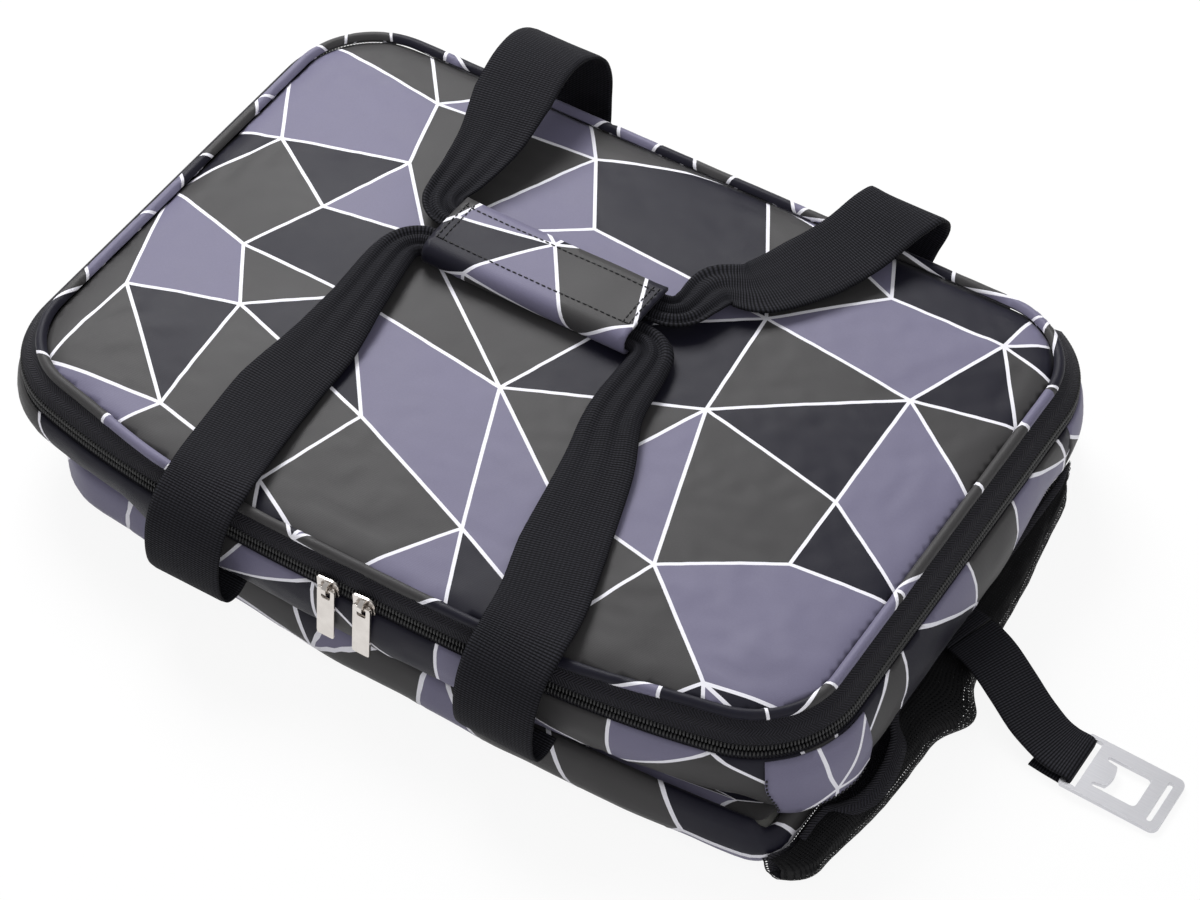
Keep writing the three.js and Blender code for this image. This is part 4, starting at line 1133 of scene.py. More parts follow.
def left_share(p: Place) -> float:
    """1 round the front left corner and on the front half of the left side."""
    return smooth((-98 - p.x) / 27) * smooth((40 - p.y) / 60)


def right_share(p: Place) -> float:
    """1 on the right-hand side, easing to 0 round its corners."""
    return smooth((p.nx - 0.4) / 0.4)


def tape_lean(p: Place) -> float:
    """How far the lid's tape leans in from the coil to the piping."""
    return mix(SIZE.lean_side, SIZE.lean_front, front_share(p))


def zip_span() -> tuple[float, float]:
    """Where the zipper starts, at the rear left, and where it ends, at the rear right."""
    return ZIP.mark(1, 30), ZIP.length + ZIP.mark(0, 60)


# Lid


def bumps(x: float, y: float, seed: float, size: float) -> float:
    """Soft uneven height in about -1 to 1, at a scale in millimetres."""
    return noise.noise((x / size + seed, y / size - seed, seed * 1.7))


@dataclass
class Lid:
    """The zipped lid: its padded panel, piping and lining."""

    step: float = 5.0
    seam_drop: float = 2.4
    body: str = "lid"

    def edge_offset(self, p: Place) -> float:
        """Where the panel's seam lies, inside the piping."""
        return -tape_lean(p) - SIZE.piping_r * 0.4 - SIZE.piping_r + 0.5

    def height(self, x: float, y: float, inset: float) -> float:
        """Height of the panel.

        Args:
            x: across the bag.
            y: from front to rear.
            inset: distance from the seam.

        Returns:
            The height of the cloth there.
        """
        rise = 1 - math.exp(-inset / 9.0)
        crown = SIZE.crown * math.sin(math.pi / 2 * min(1.0, inset / 120) ** 0.8)
        soft = smooth(inset / 30)
        dents = 1.5 * bumps(x, y, 3.1, 75) + 0.8 * bumps(x, y, 7.7, 34)
        pucker = 0.55 * bumps(x, y, 12.0, 11) * math.exp(-inset / 16)
        edge = SIZE.piping_z + 0.6 - self.seam_drop
        return edge + (self.seam_drop + 0.4) * rise + crown + soft * dents + pucker

    def moves(self, ring: np.ndarray) -> Callable[[float, float], np.ndarray]:
        """How the cover moves when it settles over its foam, with spare cloth along the seam.

        Args:
            ring: the seam.

        Returns:
            Function from a place to its move.
        """
        xs, ys = np.arange(-205.0, 206.0, 5.0), np.arange(-160.0, 141.0, 5.0)
        moves = np.zeros((len(xs), len(ys), 3))
        flat = np.array([(x, y) for x in xs for y in ys])
        insets = np.array([self.inset(ring, x, y) for x, y in flat])
        inside = _inside(flat, ring) & (insets > 1.0)
        number = np.where(inside, np.cumsum(inside) - 1, -1).reshape(len(xs), len(ys))
        faces = [(number[i, j], number[i + 1, j], number[i + 1, j + 1], number[i, j + 1])
                 for i in range(len(xs) - 1) for j in range(len(ys) - 1)]
        faces = [tuple(int(n) for n in f) for f in faces if min(f) >= 0]
        depth = insets[inside]
        points = np.array([(x, y, self.height(x, y, d)) for (x, y), d in zip(flat[inside], depth)])
        went = settle(points, faces, [int(n) for n in np.flatnonzero(depth < 6.0)],
                      np.clip(1.2 - depth / 40, 0.1, 1.0), 0.15)
        LOG.info("lid cover settled: %.1f to %.1f mm", went[:, 2].min(), went[:, 2].max())
        went[:, :2] = np.clip(went[:, :2], -2.5, 2.5)
        went[:, 2] = np.clip(went[:, 2], -5.0, 2.2)
        moves.reshape(-1, 3)[inside] = went

        def at(x: float, y: float) -> np.ndarray:
            """Move at a place, between the nearest four points."""
            i = min(len(xs) - 2, max(0, int((x - xs[0]) / 5)))
            j = min(len(ys) - 2, max(0, int((y - ys[0]) / 5)))
            f, g = (x - xs[i]) / 5, (y - ys[j]) / 5
            near = moves[i, j] * (1 - g) + moves[i, j + 1] * g
            far = moves[i + 1, j] * (1 - g) + moves[i + 1, j + 1] * g
            return near * (1 - f) + far * f

        return at

    @staticmethod
    def inset(ring: np.ndarray, x: float, y: float) -> float:
        """Distance from the seam."""
        d = np.roll(ring, -1, axis=0) - ring
        t = np.clip(((np.array((x, y)) - ring) * d).sum(1) / (d * d).sum(1), 0, 1)
        return float(np.sqrt((((ring + d * t[:, None]) - (x, y)) ** 2).sum(1).min()))

    def panel(self) -> bpy.types.Object:
        """The printed panel over the foam."""
        ring = np.array([p.out(self.edge_offset(p), 0.0)[:2] for p in ZIP.places(self.step)])
        layout = Print(430, 330, SEED)
        boundary = [(x + 215, y + 165) for x, y in ring]
        sheet = layout.cut(boundary, grid_inside(boundary, 3.4), 3.4)
        move = self.moves(ring)

        def place(u: float, v: float) -> Vec3:
            """Cloth to space."""
            x, y = u - 215, v - 165
            dx, dy, dz = move(x, y)
            return (x + dx, y + dy, self.height(x, y, self.inset(ring, x, y)) + dz)

        obj = sheet.shaped(place).build("lid_panel", Finish.PRINT, "print_light")
        thicken(obj, 1.0)
        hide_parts("lid_cover", "lid_foam")
        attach(obj, self.body)
        return obj

    def piping(self) -> bpy.types.Object:
        """The printed piping round the panel."""
        length, girth = ZIP.length, 2 * math.pi * SIZE.piping_r
        layout = Print(length, girth, SEED + 5, spacing=48)

        def place(u: float, v: float) -> Vec3:
            """Cloth to space."""
            p = ZIP.at(u)
            a = v / SIZE.piping_r - math.pi
            r = SIZE.piping_r * (1 + 0.04 * bumps(u, v, 2.0, 9))
            centre = -tape_lean(p) - SIZE.piping_r * 0.4
            return p.out(centre + r * math.cos(a), SIZE.piping_z + r * math.sin(a))

        sheet = printed_strip(layout, length, girth, 1.96, place)
        obj = sheet.build("lid_edge_piping", Finish.PRINT, "print_light")
        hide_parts("lid_piping")
        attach(obj, self.body)
        return obj

    def build(self) -> list[bpy.types.Object]:
        """Build the lid's pieces."""
        return [self.panel(), self.piping(), refined("lid_lining", Finish.FILM, self.body)]


# Zipper


@dataclass
class Zipper:
    """Tapes and coils on the lid and the rim, and the sliders with their pulls."""

    pitch: float = 1.55
    tape_step: float = 4.0

    def tape(self, name: str, section: Callable[[Place], list[Vec2]], node: str,
             body: str) -> bpy.types.Object:
        """A woven tape along the zipper.

        Args:
            name: the piece's name.
            section: offset and height of points across the tape.
            node: the CAD node that it stands for.
            body: the body that it rides on.

        Returns:
            The tape.
        """
        start, end = zip_span()
        rows, cloth = [], []
        for p in ZIP.places(self.tape_step, start, end):
            across = section(p)
            width = [0.0]
            for a, b in zip(across, across[1:]):
                width.append(width[-1] + math.dist(a, b))
            rows.append([p.out(d, z) for d, z in across])
            cloth.append([(w, p.s) for w in width])
        surface = Surface()
        surface.add_grid(rows, cloth)
        obj = surface.build(name, Finish.TAPE, "black_webbing")
        thicken(obj, 0.7, 0.0)
        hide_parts(node)
        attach(obj, body)
        return obj

    def coil(self, name: str, middle_z: float, shift: float, node: str, body: str) -> bpy.types.Object:
        """A row of the coil's turns, each a short bent bar across the row."""
        start, end = zip_span()
        count = int((end - start) / self.pitch)
        surface = Surface()
        sides = 6
        profile = [(-0.5, 0.35), (-0.42, 0.85), (-0.15, 1.0), (0.2, 1.0), (0.45, 0.8), (0.53, 0.3)]
        for k in range(count):
            p = ZIP.at(start + (k + shift) * self.pitch, 1.0)
            tx, ty = -p.ny, p.nx
            rows = []
            for t, girth in profile:
                z = middle_z + t * (SIZE.coil_width + 0.5)
                radius = 0.62 * girth
                bow = 0.25 * (1 - 4 * t * t)
                ring = []
                for j in range(sides):
                    a = 2 * math.pi * j / sides
                    along, out = radius * math.cos(a), radius * 1.7 * math.sin(a) + bow
                    ring.append((p.x + tx * along + p.nx * out, p.y + ty * along + p.ny * out, z))
                rows.append(ring)
            surface.add_grid(rows, [[(0.0, 0.0)] * sides for _ in rows], closed=True)
            first = len(surface.points) - sides * len(profile)
            surface.faces.append(tuple(first + j for j in reversed(range(sides))))
            surface.faces.append(tuple(len(surface.points) - sides + j for j in range(sides)))
        obj = surface.build(name, Finish.NYLON, "black_nylon")
        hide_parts(node)
        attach(obj, body)
        return obj

    def build(self) -> list[bpy.types.Object]:
        """Build the zipper's pieces."""
        def lid_section(p: Place) -> list[Vec2]:
            """From the coil up to the piping."""
            lean, top = tape_lean(p), SIZE.piping_z - SIZE.piping_r + 1.0
            low = SIZE.lid_coil_z + 0.8
            return [(-0.4, low), (-0.1, mix(low, top, 0.3)), (-lean * 0.5 + 0.3, mix(low, top, 0.65)),
                    (-lean + 0.2, top), (-lean - 0.8, top + 1.2)]

        def rim_section(p: Place) -> list[Vec2]:
            """From the coil down behind the band."""
            high = SIZE.rim_coil_z + SIZE.coil_width - 0.8
            return [(-0.4, high), (0.2, high - 2.2), (0.9, high - 4.0), (0.6, high - 7.5)]

        pieces = [
            self.tape("lid_tape_woven", lid_section, "lid_zip_tape", "lid"),
            self.tape("rim_tape_woven", rim_section, "rim_zip_tape", "rim"),
            self.coil("lid_coil_turns", SIZE.lid_coil_z + SIZE.coil_width / 2 - 0.1, 0.0,
                      "lid_zip_coil", "lid"),
            self.coil("rim_coil_turns", SIZE.rim_coil_z + SIZE.coil_width / 2 + 0.1, 0.5,
                      "rim_zip_coil", "rim"),
        ]
        for side in ("left", "right"):
            pieces.append(refined(f"slider_{side}", Finish.NICKEL, f"slider_{side}", 0.22))
            pieces.append(refined(f"pull_{side}", Finish.NICKEL, f"pull_{side}", 0.4))
            pieces.append(refined(f"zip_tab_{side}", Finish.TAPE, "rim", 0.6))
        return pieces


# Rim and body


@dataclass
class Rim:
    """The printed band below the zipper, with its lining and the fabric hinge."""

    step: float = 3.6
    body: str = "rim"

    def bottom(self, p: Place) -> float:
        """Hem of the band: lower on the right-hand side, and drawn up at the front left."""
        return SIZE.rim_bottom_z - SIZE.rim_drop * right_share(p) + SIZE.left_rise * left_share(p)

    def offset(self, p: Place, share: float) -> float:
        """Outer face of the band at a share of the way down."""
        bulge = (SIZE.band_bulge - SIZE.band_top_offset) * math.sin(math.pi * share)
        flare = right_share(p) * mix(SIZE.band_flare, -SIZE.band_tuck, smooth((p.y - 20) / 60))
        return SIZE.band_top_offset + bulge + flare * share - 3.0 * left_share(p) * share ** 2

    def band(self) -> bpy.types.Object:
        """The printed band."""
        length, tall = ZIP.length, 29.0
        layout = Print(length, tall, SEED + 11, spacing=58)

        def place(u: float, v: float) -> Vec3:
            """Cloth to space, from under the hem up to the zipper."""
            p = ZIP.at(u, 5.0)
            top, low = SIZE.rim_top_z + 1.0, self.bottom(p)
            share = 1 - v / tall
            wave = smooth(share * 1.6) * (0.9 * bumps(u, v * 1.5, 5.0, 26) + 0.5 * bumps(u, v * 2, 9.0, 11))
            hem = smooth((share - 0.9) / 0.1) * 1.6
            pinch = smooth((0.12 - share) / 0.12) * 0.9
            return p.out(self.offset(p, share) + wave - hem - pinch, mix(top, low, share) + 0.4 * wave)

        sheet = printed_strip(layout, length, tall, self.step, place)
        obj = sheet.build("rim_printed_band", Finish.PRINT, "print_grey")
        thicken(obj, 1.0)
        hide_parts("rim_band")
        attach(obj, self.body)
        return obj

    def foam(self) -> bpy.types.Object:
        """The bound foam behind the band, drawn up with the hem at the front left."""
        obj = refined("rim_foam", Finish.TAPE, self.body)
        for vertex in obj.data.vertices:
            at = Place(vertex.co.x / MM, vertex.co.y / MM, 0.0, 0.0, 0.0)
            hem = SIZE.rim_bottom_z + SIZE.left_rise * left_share(at) + 2.5
            vertex.co.z = max(vertex.co.z, hem * MM) if left_share(at) > 0 else vertex.co.z
        return obj

    def ear(self) -> list[bpy.types.Object]:
        """The side band's end, overlocked and laid over the front band round the corner."""
        start, end = ZIP.nearest(184, -131), ZIP.nearest(205, -92)
        length, tall = end - start, 27.0

        def place(u: float, v: float) -> Vec3:
            """Cloth to space, with the end cut on a slant."""
            s = start + u + 5.0 * (1 - u / length) * smooth(1 - v / 16)
            p = ZIP.at(s, 5.0)
            share = 1 - v / tall
            low = self.bottom(p) + 0.6
            lift = 1.5 * smooth(share * 4) * (1 - 0.8 * smooth((u - length + 14) / 14))
            lift += 0.3 * bumps(u, v, 44.0, 8)
            return p.out(self.offset(p, share) + lift, mix(SIZE.rim_top_z + 0.6, low, share))

        layout = Print(length, tall, SEED + 63, spacing=70)
        sheet = printed_strip(layout, length, tall, 2.4, place)
        sheet.inks = [ink if ink == tuple(INK_LINE) else INK_LIGHT for ink in sheet.inks]
        flap = sheet.build("corner_flap", Finish.PRINT, "print_light")
        thicken(flap, 0.8, 1.0)
        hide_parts("corner_ear")

        def lifted(u: float, v: float) -> Vec3:
            """A place just above the flap."""
            x, y, z = place(u, v)
            p = ZIP.at(start + u, 5.0)
            return (x + p.nx * 1.0, y + p.ny * 1.0, z)

        edge = [lifted(0.5, v) for v in np.linspace(1, tall - 5, 12)]
        hem = [lifted(u, 0.7) for u in np.linspace(length * 0.35, length - 2, 16)]
        thread = Seam(pitch=2.2, stitch=1.3, radius=0.5).laid("corner_flap_overlock", [edge, hem])
        for obj in (flap, thread):
            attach(obj, self.body)
        return [flap, thread]

    def build(self) -> list[bpy.types.Object]:
        """Build the rim's pieces."""
        return [
            self.band(), *self.ear(),
            self.foam(), refined("rim_lining", Finish.FILM, self.body),
            refined("hinge_strip", Finish.TAPE, self.body),
        ]


@dataclass
class Tub:
    """The lower body: the printed wall and bottom, the folded wall above it and the lining inside."""

    step: float = 4.5
    body: str = "base"

    @staticmethod
    def profile(p: Place, v: float) -> Vec2:
        """Offset and height of the wall at a distance up the cloth from the foot, and over into the fold."""
        top = mix(27.0, 20.4, right_share(p)) - 1.0 * left_share(p)
        lean = mix(-4.4, -2.4, left_share(p))
        knots = np.array([(-9.0, 0.0), (-2.6, 2.6), (0.0, 9.0), (-0.6, 14.0), (lean * 0.7, mix(14, top, 0.7)),
                          (lean, top - 0.8), (lean - 1.4, top), (-9.5, top - 0.8), (-9.8, top - 30)])
        far = np.concatenate([[0.0], np.cumsum(np.hypot(*np.diff(knots, axis=0).T))])
        return float(np.interp(v, far, knots[:, 0])), float(np.interp(v, far, knots[:, 1]))

    def wall(self) -> bpy.types.Object:
        """The printed wall from the floor up to the fold."""
        length, tall = BASE.length, 50.0
        layout = Print(length, tall, SEED + 23, spacing=60)

        def place(u: float, v: float) -> Vec3:
            """Cloth to space."""
            p = BASE.at(u, 4.0)
            d, z = self.profile(p, v)
            share = smooth(v / 12) * smooth((40 - v) / 12)
            wave = share * (1.1 * bumps(u, v * 1.2, 15.0, 42) + 0.6 * bumps(u, v * 2, 19.0, 15))
            return p.out(d + wave, z)

        sheet = printed_strip(layout, length, tall, self.step, place)
        obj = sheet.build("base_printed_wall", Finish.PRINT, "print_dark")
        add_modifier(obj, "SMOOTH", factor=0.5, iterations=3)
        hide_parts("base_cover")
        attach(obj, self.body)
        return obj

    def bottom(self) -> bpy.types.Object:
        """The printed bottom."""
        outer = [p.out(-8.6, 0.0)[:2] for p in BASE.places(8.0)]
        boundary = [(x + 215, y + 175) for x, y in outer]
        sheet = Print(430, 340, SEED + 31).cut(boundary, grid_inside(boundary, 24.0), 24.0)
        surface = sheet.shaped(lambda u, v: (u - 215, v - 175, 0.05))
        surface.faces = [tuple(reversed(f)) for f in surface.faces]
        obj = surface.build("base_printed_bottom", Finish.PRINT, "print_dark")
        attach(obj, self.body)
        return obj

    def folded_wall(self) -> bpy.types.Object:
        """The wall that is folded in between base and rim, with its print at its unfolded height."""
        travel = SIZE.travel
        low, high = 21.1, SIZE.rim_bottom_z + 0.6
        tall = travel + high - low
        layout = Print(ZIP.length, tall, SEED + 41)
        rim = Rim()

        def unfold(share: float) -> float:
            """Height at rest of the cloth that stands at a share of the unfolded wall."""
            t = share
            for _ in range(12):
                t -= (t * t * (3 - 2 * t) + (high - low) / travel * t - share * tall / travel) / \
                    (6 * t * (1 - t) + (high - low) / travel)
            return min(1.0, max(0.0, t))

        def place(u: float, v: float) -> Vec3:
            """Cloth to space."""
            t = unfold(v / tall)
            b, r = BASE.at(BASE.matched(u, ZIP), 4.0), ZIP.at(u, 4.0)
            x0, y0, _ = b.out(-11.0, 0.0)
            x1, y1, _ = r.out(max(rim.offset(r, 1.0) - 2.2, -2.9), 0.0)
            fold = 5.0 * math.sin(math.pi * t) ** 0.6 + 0.4 * bumps(u, v, 21.0, 40)
            nx, ny = (b.nx + r.nx) / 2, (b.ny + r.ny) / 2
            over = smooth(t * 3)
            z = mix(low, high, t) + SIZE.left_rise * left_share(r) * smooth((t - 0.85) / 0.15)
            return (mix(x0, x1, over) - nx * fold, mix(y0, y1, over) - ny * fold, z)

        sheet = printed_strip(layout, ZIP.length, tall, 12.0, place)
        obj = sheet.build("folded_printed_wall", Finish.PRINT, "print_grey")
        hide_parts("wall_bellows")
        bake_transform(obj)
        return obj

    def folded_lining(self) -> bpy.types.Object:
        """The lining that is folded in behind the wall."""
        low, high = 24.4, SIZE.rim_bottom_z + 1.2
        rows, cloth = [], []
        levels = [0.0, 0.1, 0.2, 0.32, 0.44, 0.56, 0.68, 0.8, 0.9, 1.0]
        for t in levels:
            row = []
            for k in range(220):
                s = k / 220 * ZIP.length
                b, r = INNER.at(INNER.matched(s, ZIP), 4.0), ZIP.at(s, 4.0)
                x0, y0, _ = b.out(-0.6, 0.0)
                x1, y1, _ = r.out(-10.0, 0.0)
                fold = 3.0 * math.sin(math.pi * t)
                row.append((mix(x0, x1, t) - b.nx * fold, mix(y0, y1, t) - b.ny * fold, mix(low, high, t)))
            rows.append(row)
            cloth.append([(k * 6.0, t * SIZE.travel) for k in range(220)])
        surface = Surface()
        surface.add_grid(rows, cloth, closed=True)
        obj = surface.build("folded_lining", Finish.FILM, "lining")
        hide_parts("lining_bellows")
        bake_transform(obj)
        return obj

    def build(self) -> list[bpy.types.Object]:
        """Build the lower body's pieces."""
        return [
            self.wall(), self.bottom(), self.folded_wall(), self.folded_lining(),
            refined("base_lining", Finish.FILM, self.body),
            refined("base_foam", Finish.FOAM, self.body),
            refined("base_board", Finish.NYLON, self.body),
        ]


# Pocket


@dataclass
class Pocket:
    """The net pocket on the right-hand side, with its elastic mouth."""

    front: float = -148.0
    rear: float = 107.0
    corner: Vec3 = (186.0, -135.6, 16.0)
    body: str = "base"

    def seam(self, y: float) -> float:
        """X of the wall that the pocket is sewn to, round the front corner."""
        x, start, r = self.corner
        past = min(r - 1, max(0.0, start - y))
        return x + math.sqrt(r * r - past * past) + 0.35

    def share(self, y: float) -> float:
        """Share of the pocket's full reach at y: 0 at both ends, and most towards the front."""
        t = min(1.0, max(0.0, (y - self.front) / (self.rear - self.front)))
        return math.sin(math.pi * t ** 0.67) ** 0.9 if 0 < t < 1 else 0.0

    def reach(self, y: float) -> float:
        """How far the net stands out at y."""
        corner = 3.0 * smooth((-128 - y) / 16)
        swell = 9 * math.exp(-((y + 38) / 11) ** 2)
        return mix(5.0, 22.5, self.share(y)) + swell + corner + 0.8 * bumps(y, 0, 4.0, 24)

    def ease(self, y: float, offset: float) -> float:
        """An offset from the seam at y, which runs in to the wall at the pocket's rear end."""
        return mix(0.8, offset, mix(0.12, 1.0, smooth((self.rear - y) / 18)))

    def mouth(self, y: float) -> float:
        """How far the mouth stands out at y: it gapes near the front and lies against the wall elsewhere."""
        ys = (-124, -116, -110, -103, -96, -84, -72, -65, -58, 0, 107)
        return float(np.interp(y, ys, (2.4, 3.6, 9.5, 13.0, 14.0, 13.2, 10.0, 5.6, 3.4, 3.0, 2.4)))

    def section(self, y: float) -> list[Vec2]:
        """Offset and height of the net across y, from the seam under the bulge to the mouth."""
        reach, high, mouth = self.reach(y), mix(11.5, 15, self.share(y)), self.mouth(y)
        top = max(mouth + 1.5, reach * 0.84)
        return [(-1.0, 9.4), (1.6, 2.4), (4.0, 0.5), (reach * 0.8, 0.4), (reach * 0.96, high * 0.16),
                (reach, high * 0.42), (reach * 0.95, high * 0.66), (top, high * 0.86),
                (mix(top, mouth, 0.5), high * 0.97), (mouth, high)]

    def net(self) -> bpy.types.Object:
        """The bulging net."""
        rows, cloth = [], []
        count = 130
        for k in range(count + 1):
            y = mix(self.front, self.rear, k / count)
            fine = self._finer(self.section(y), 4)
            wave = [0.9 * bumps(y, n * 4.0, 6.0, 12) + 0.5 * bumps(y, n * 9.0, 8.0, 6)
                    for n in range(len(fine))]
            rows.append([(self.seam(y) + self.ease(y, x) + w * 0.6, y, max(0.3, z + w * 0.5))
                         for (x, z), w in zip(fine, wave)])
            cloth.append([(n * 1.7, y - self.front) for n in range(len(fine))])
        surface = Surface()
        surface.add_grid(rows, cloth)
        obj = surface.build("pocket_net", Finish.NET, "mesh")
        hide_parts("pocket_mesh")
        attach(obj, self.body)
        return obj

    def bottom(self) -> bpy.types.Object:
        """A black sheet under the net, up the wall and out along the floor: painted shade inside the pocket,
        which makes the net read dark.
        """
        rows, cloth = [], []
        for k in range(61):
            y = mix(self.front + 0.5, self.rear - 0.5, k / 60)
            reach = self.reach(y)
            across = [(0.6, 13.0), (1.0, 6.0), (2.2, 1.6), (5.0, 0.7),
                      (reach * 0.5, 0.6), (reach * 0.78, 0.6)]
            rows.append([(self.seam(y) + self.ease(y, x), y, z) for x, z in across])
            cloth.append([(n * 5.0, y) for n in range(len(across))])
        surface = Surface()
        surface.add_grid(rows, cloth)
        # The black sheet is painted shade behind the net.
        obj = surface.build("pocket_shade_backing", Finish.TAPE, "mesh")
        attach(obj, self.body)
        return obj

    def elastic(self) -> bpy.types.Object:
        """The elastic along the mouth."""
        rows, cloth = [], []
        travelled, last = 0.0, None
        for k in range(151):
            y = mix(self.front + 14, self.rear - 4, k / 150)
            mouth = self.mouth(y)
            high = mix(11.5, 15, self.share(y))
            wide = 2.4 + 5.0 * smooth((mouth - 3.4) / 5)
            ruck = 0.35 * bumps(y, 0, 13.0, 3.2)
            across = [(mix(mouth - 0.4, mouth + wide * 0.96, t), high + 0.9 - 2.6 * t * t * wide / 7.5 + ruck)
                      for t in (0.0, 0.25, 0.5, 0.75, 1.0)]
            here = (mouth, y)
            travelled += math.dist(here, last) if last else 0.0
            last = here
            rows.append([(self.seam(y) + self.ease(y, x), y, z) for x, z in across])
            cloth.append([(wide * t, travelled) for t in (0.0, 0.25, 0.5, 0.75, 1.0)])
        surface = Surface()
        surface.add_grid(rows, cloth)
        obj = surface.build("pocket_elastic", Finish.TAPE, "black_webbing")
        thicken(obj, 1.2, 0.0)
        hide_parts("pocket_binding")
        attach(obj, self.body)
        return obj

    @staticmethod
    def _finer(section: Sequence[Vec2], times: int) -> list[Vec2]:
        """A section with points added on a smooth line through its own."""
        points = [(x, z, 0.0) for x, z in section]
        return [(x, z) for x, z, _ in smooth_line(points, times)]

    def build(self) -> list[bpy.types.Object]:
        """Build the pocket's pieces."""
        return [self.net(), self.elastic(), self.bottom()]


def smooth_line(points: Sequence[Vec3], times: int) -> list[Vec3]:
    """Centripetal Catmull-Rom line through points, with a number of steps between neighbours."""
    p = [Vector(q) for q in points]
    p = [p[0] * 2 - p[1], *p, p[-1] * 2 - p[-2]]
    line: list[Vec3] = []
    for k in range(1, len(p) - 2):
        a, b, c, d = p[k - 1:k + 3]
        t0 = 0.0
        t1 = t0 + max(1e-4, (b - a).length) ** 0.5
        t2 = t1 + max(1e-4, (c - b).length) ** 0.5
        t3 = t2 + max(1e-4, (d - c).length) ** 0.5
        for n in range(times):
            t = mix(t1, t2, n / times)
            a1 = a * ((t1 - t) / (t1 - t0)) + b * ((t - t0) / (t1 - t0))
            a2 = b * ((t2 - t) / (t2 - t1)) + c * ((t - t1) / (t2 - t1))
            a3 = c * ((t3 - t) / (t3 - t2)) + d * ((t - t2) / (t3 - t2))
            b1 = a1 * ((t2 - t) / (t2 - t0)) + a2 * ((t - t0) / (t2 - t0))
            b2 = a2 * ((t3 - t) / (t3 - t1)) + a3 * ((t - t1) / (t3 - t1))
            line.append(tuple(b1 * ((t2 - t) / (t2 - t1)) + b2 * ((t - t1) / (t2 - t1))))
    line.append(tuple(p[-2]))
    return line


# Handles


@dataclass
class Station:
    """A place along a strap: its middle, the way its width lies, and how far it is rolled in."""

    at: Vec3
    across: Vec3
    roll: float = 0.0


@dataclass
class Strap:
    """A flat woven strap along stations, which rolls in to a narrow double layer where it is gathered."""

    width: float = 38.0
    thick: float = 1.7
    rolled_half: float = 8.3
    rolled_height: float = 2.4
    columns: int = 16
    times: int = 6

    def section(self, roll: float) -> list[Vec2]:
        """The strap's middle layer in lengthwise folds, as offset across and height."""
        half = self.width / 2 * mix(1.0, self.rolled_half * 2 / self.width, roll)
        tall = self.rolled_height / 2 * smooth(roll)
        shares = [2 * k / self.columns - 1 for k in range(self.columns + 1)]
        return [(half * t, tall * (math.cos(3 * math.pi * t) - 0.6 * t * t)) for t in shares]

    def surface(self, stations: Sequence[Station]) -> Surface:
        """The strap's closed surface."""
        centres = smooth_line([s.at for s in stations], self.times)
        rows, cloth = [], []
        travelled = 0.0
        for k, centre in enumerate(centres):
            place = min(k / self.times, len(stations) - 1 - 1e-6)
            i, f = int(place), place - int(place)
            a, b = stations[i], stations[i + 1]
            before, after = Vector(centres[max(0, k - 1)]), Vector(centres[min(len(centres) - 1, k + 1)])
            along = (after - before).normalized()
            across = Vector(a.across).lerp(Vector(b.across), smooth(f))
            across = (across - along * across.dot(along)).normalized()
            up = across.cross(along)
            if k:
                travelled += (Vector(centre) - Vector(centres[k - 1])).length
            layer = self.section(mix(a.roll, b.roll, f))
            loop, marks = [], []
            for side in (1, -1):
                order = range(len(layer)) if side > 0 else reversed(range(len(layer)))
                for n in order:
                    before2, after2 = layer[max(0, n - 1)], layer[min(len(layer) - 1, n + 1)]
                    dx, dy = after2[0] - before2[0], after2[1] - before2[1]
                    size = math.hypot(dx, dy) or 1.0
                    edge = 0.55 if n in (0, len(layer) - 1) else 1.0
                    half = self.thick / 2 * side * edge
                    x, y = layer[n][0] - dy / size * half, layer[n][1] + dx / size * half
                    point = Vector(centre) + across * x + up * y
                    loop.append(tuple(point))
                    marks.append((self.width * n / self.columns, travelled))
            rows.append(loop)
            cloth.append(marks)
        surface = Surface()
        surface.add_grid(rows, cloth, closed=True)
        size = len(rows[0])
        surface.faces.append(tuple(reversed(range(size))))
        surface.faces.append(tuple(range(len(surface.points) - size, len(surface.points))))
        return surface


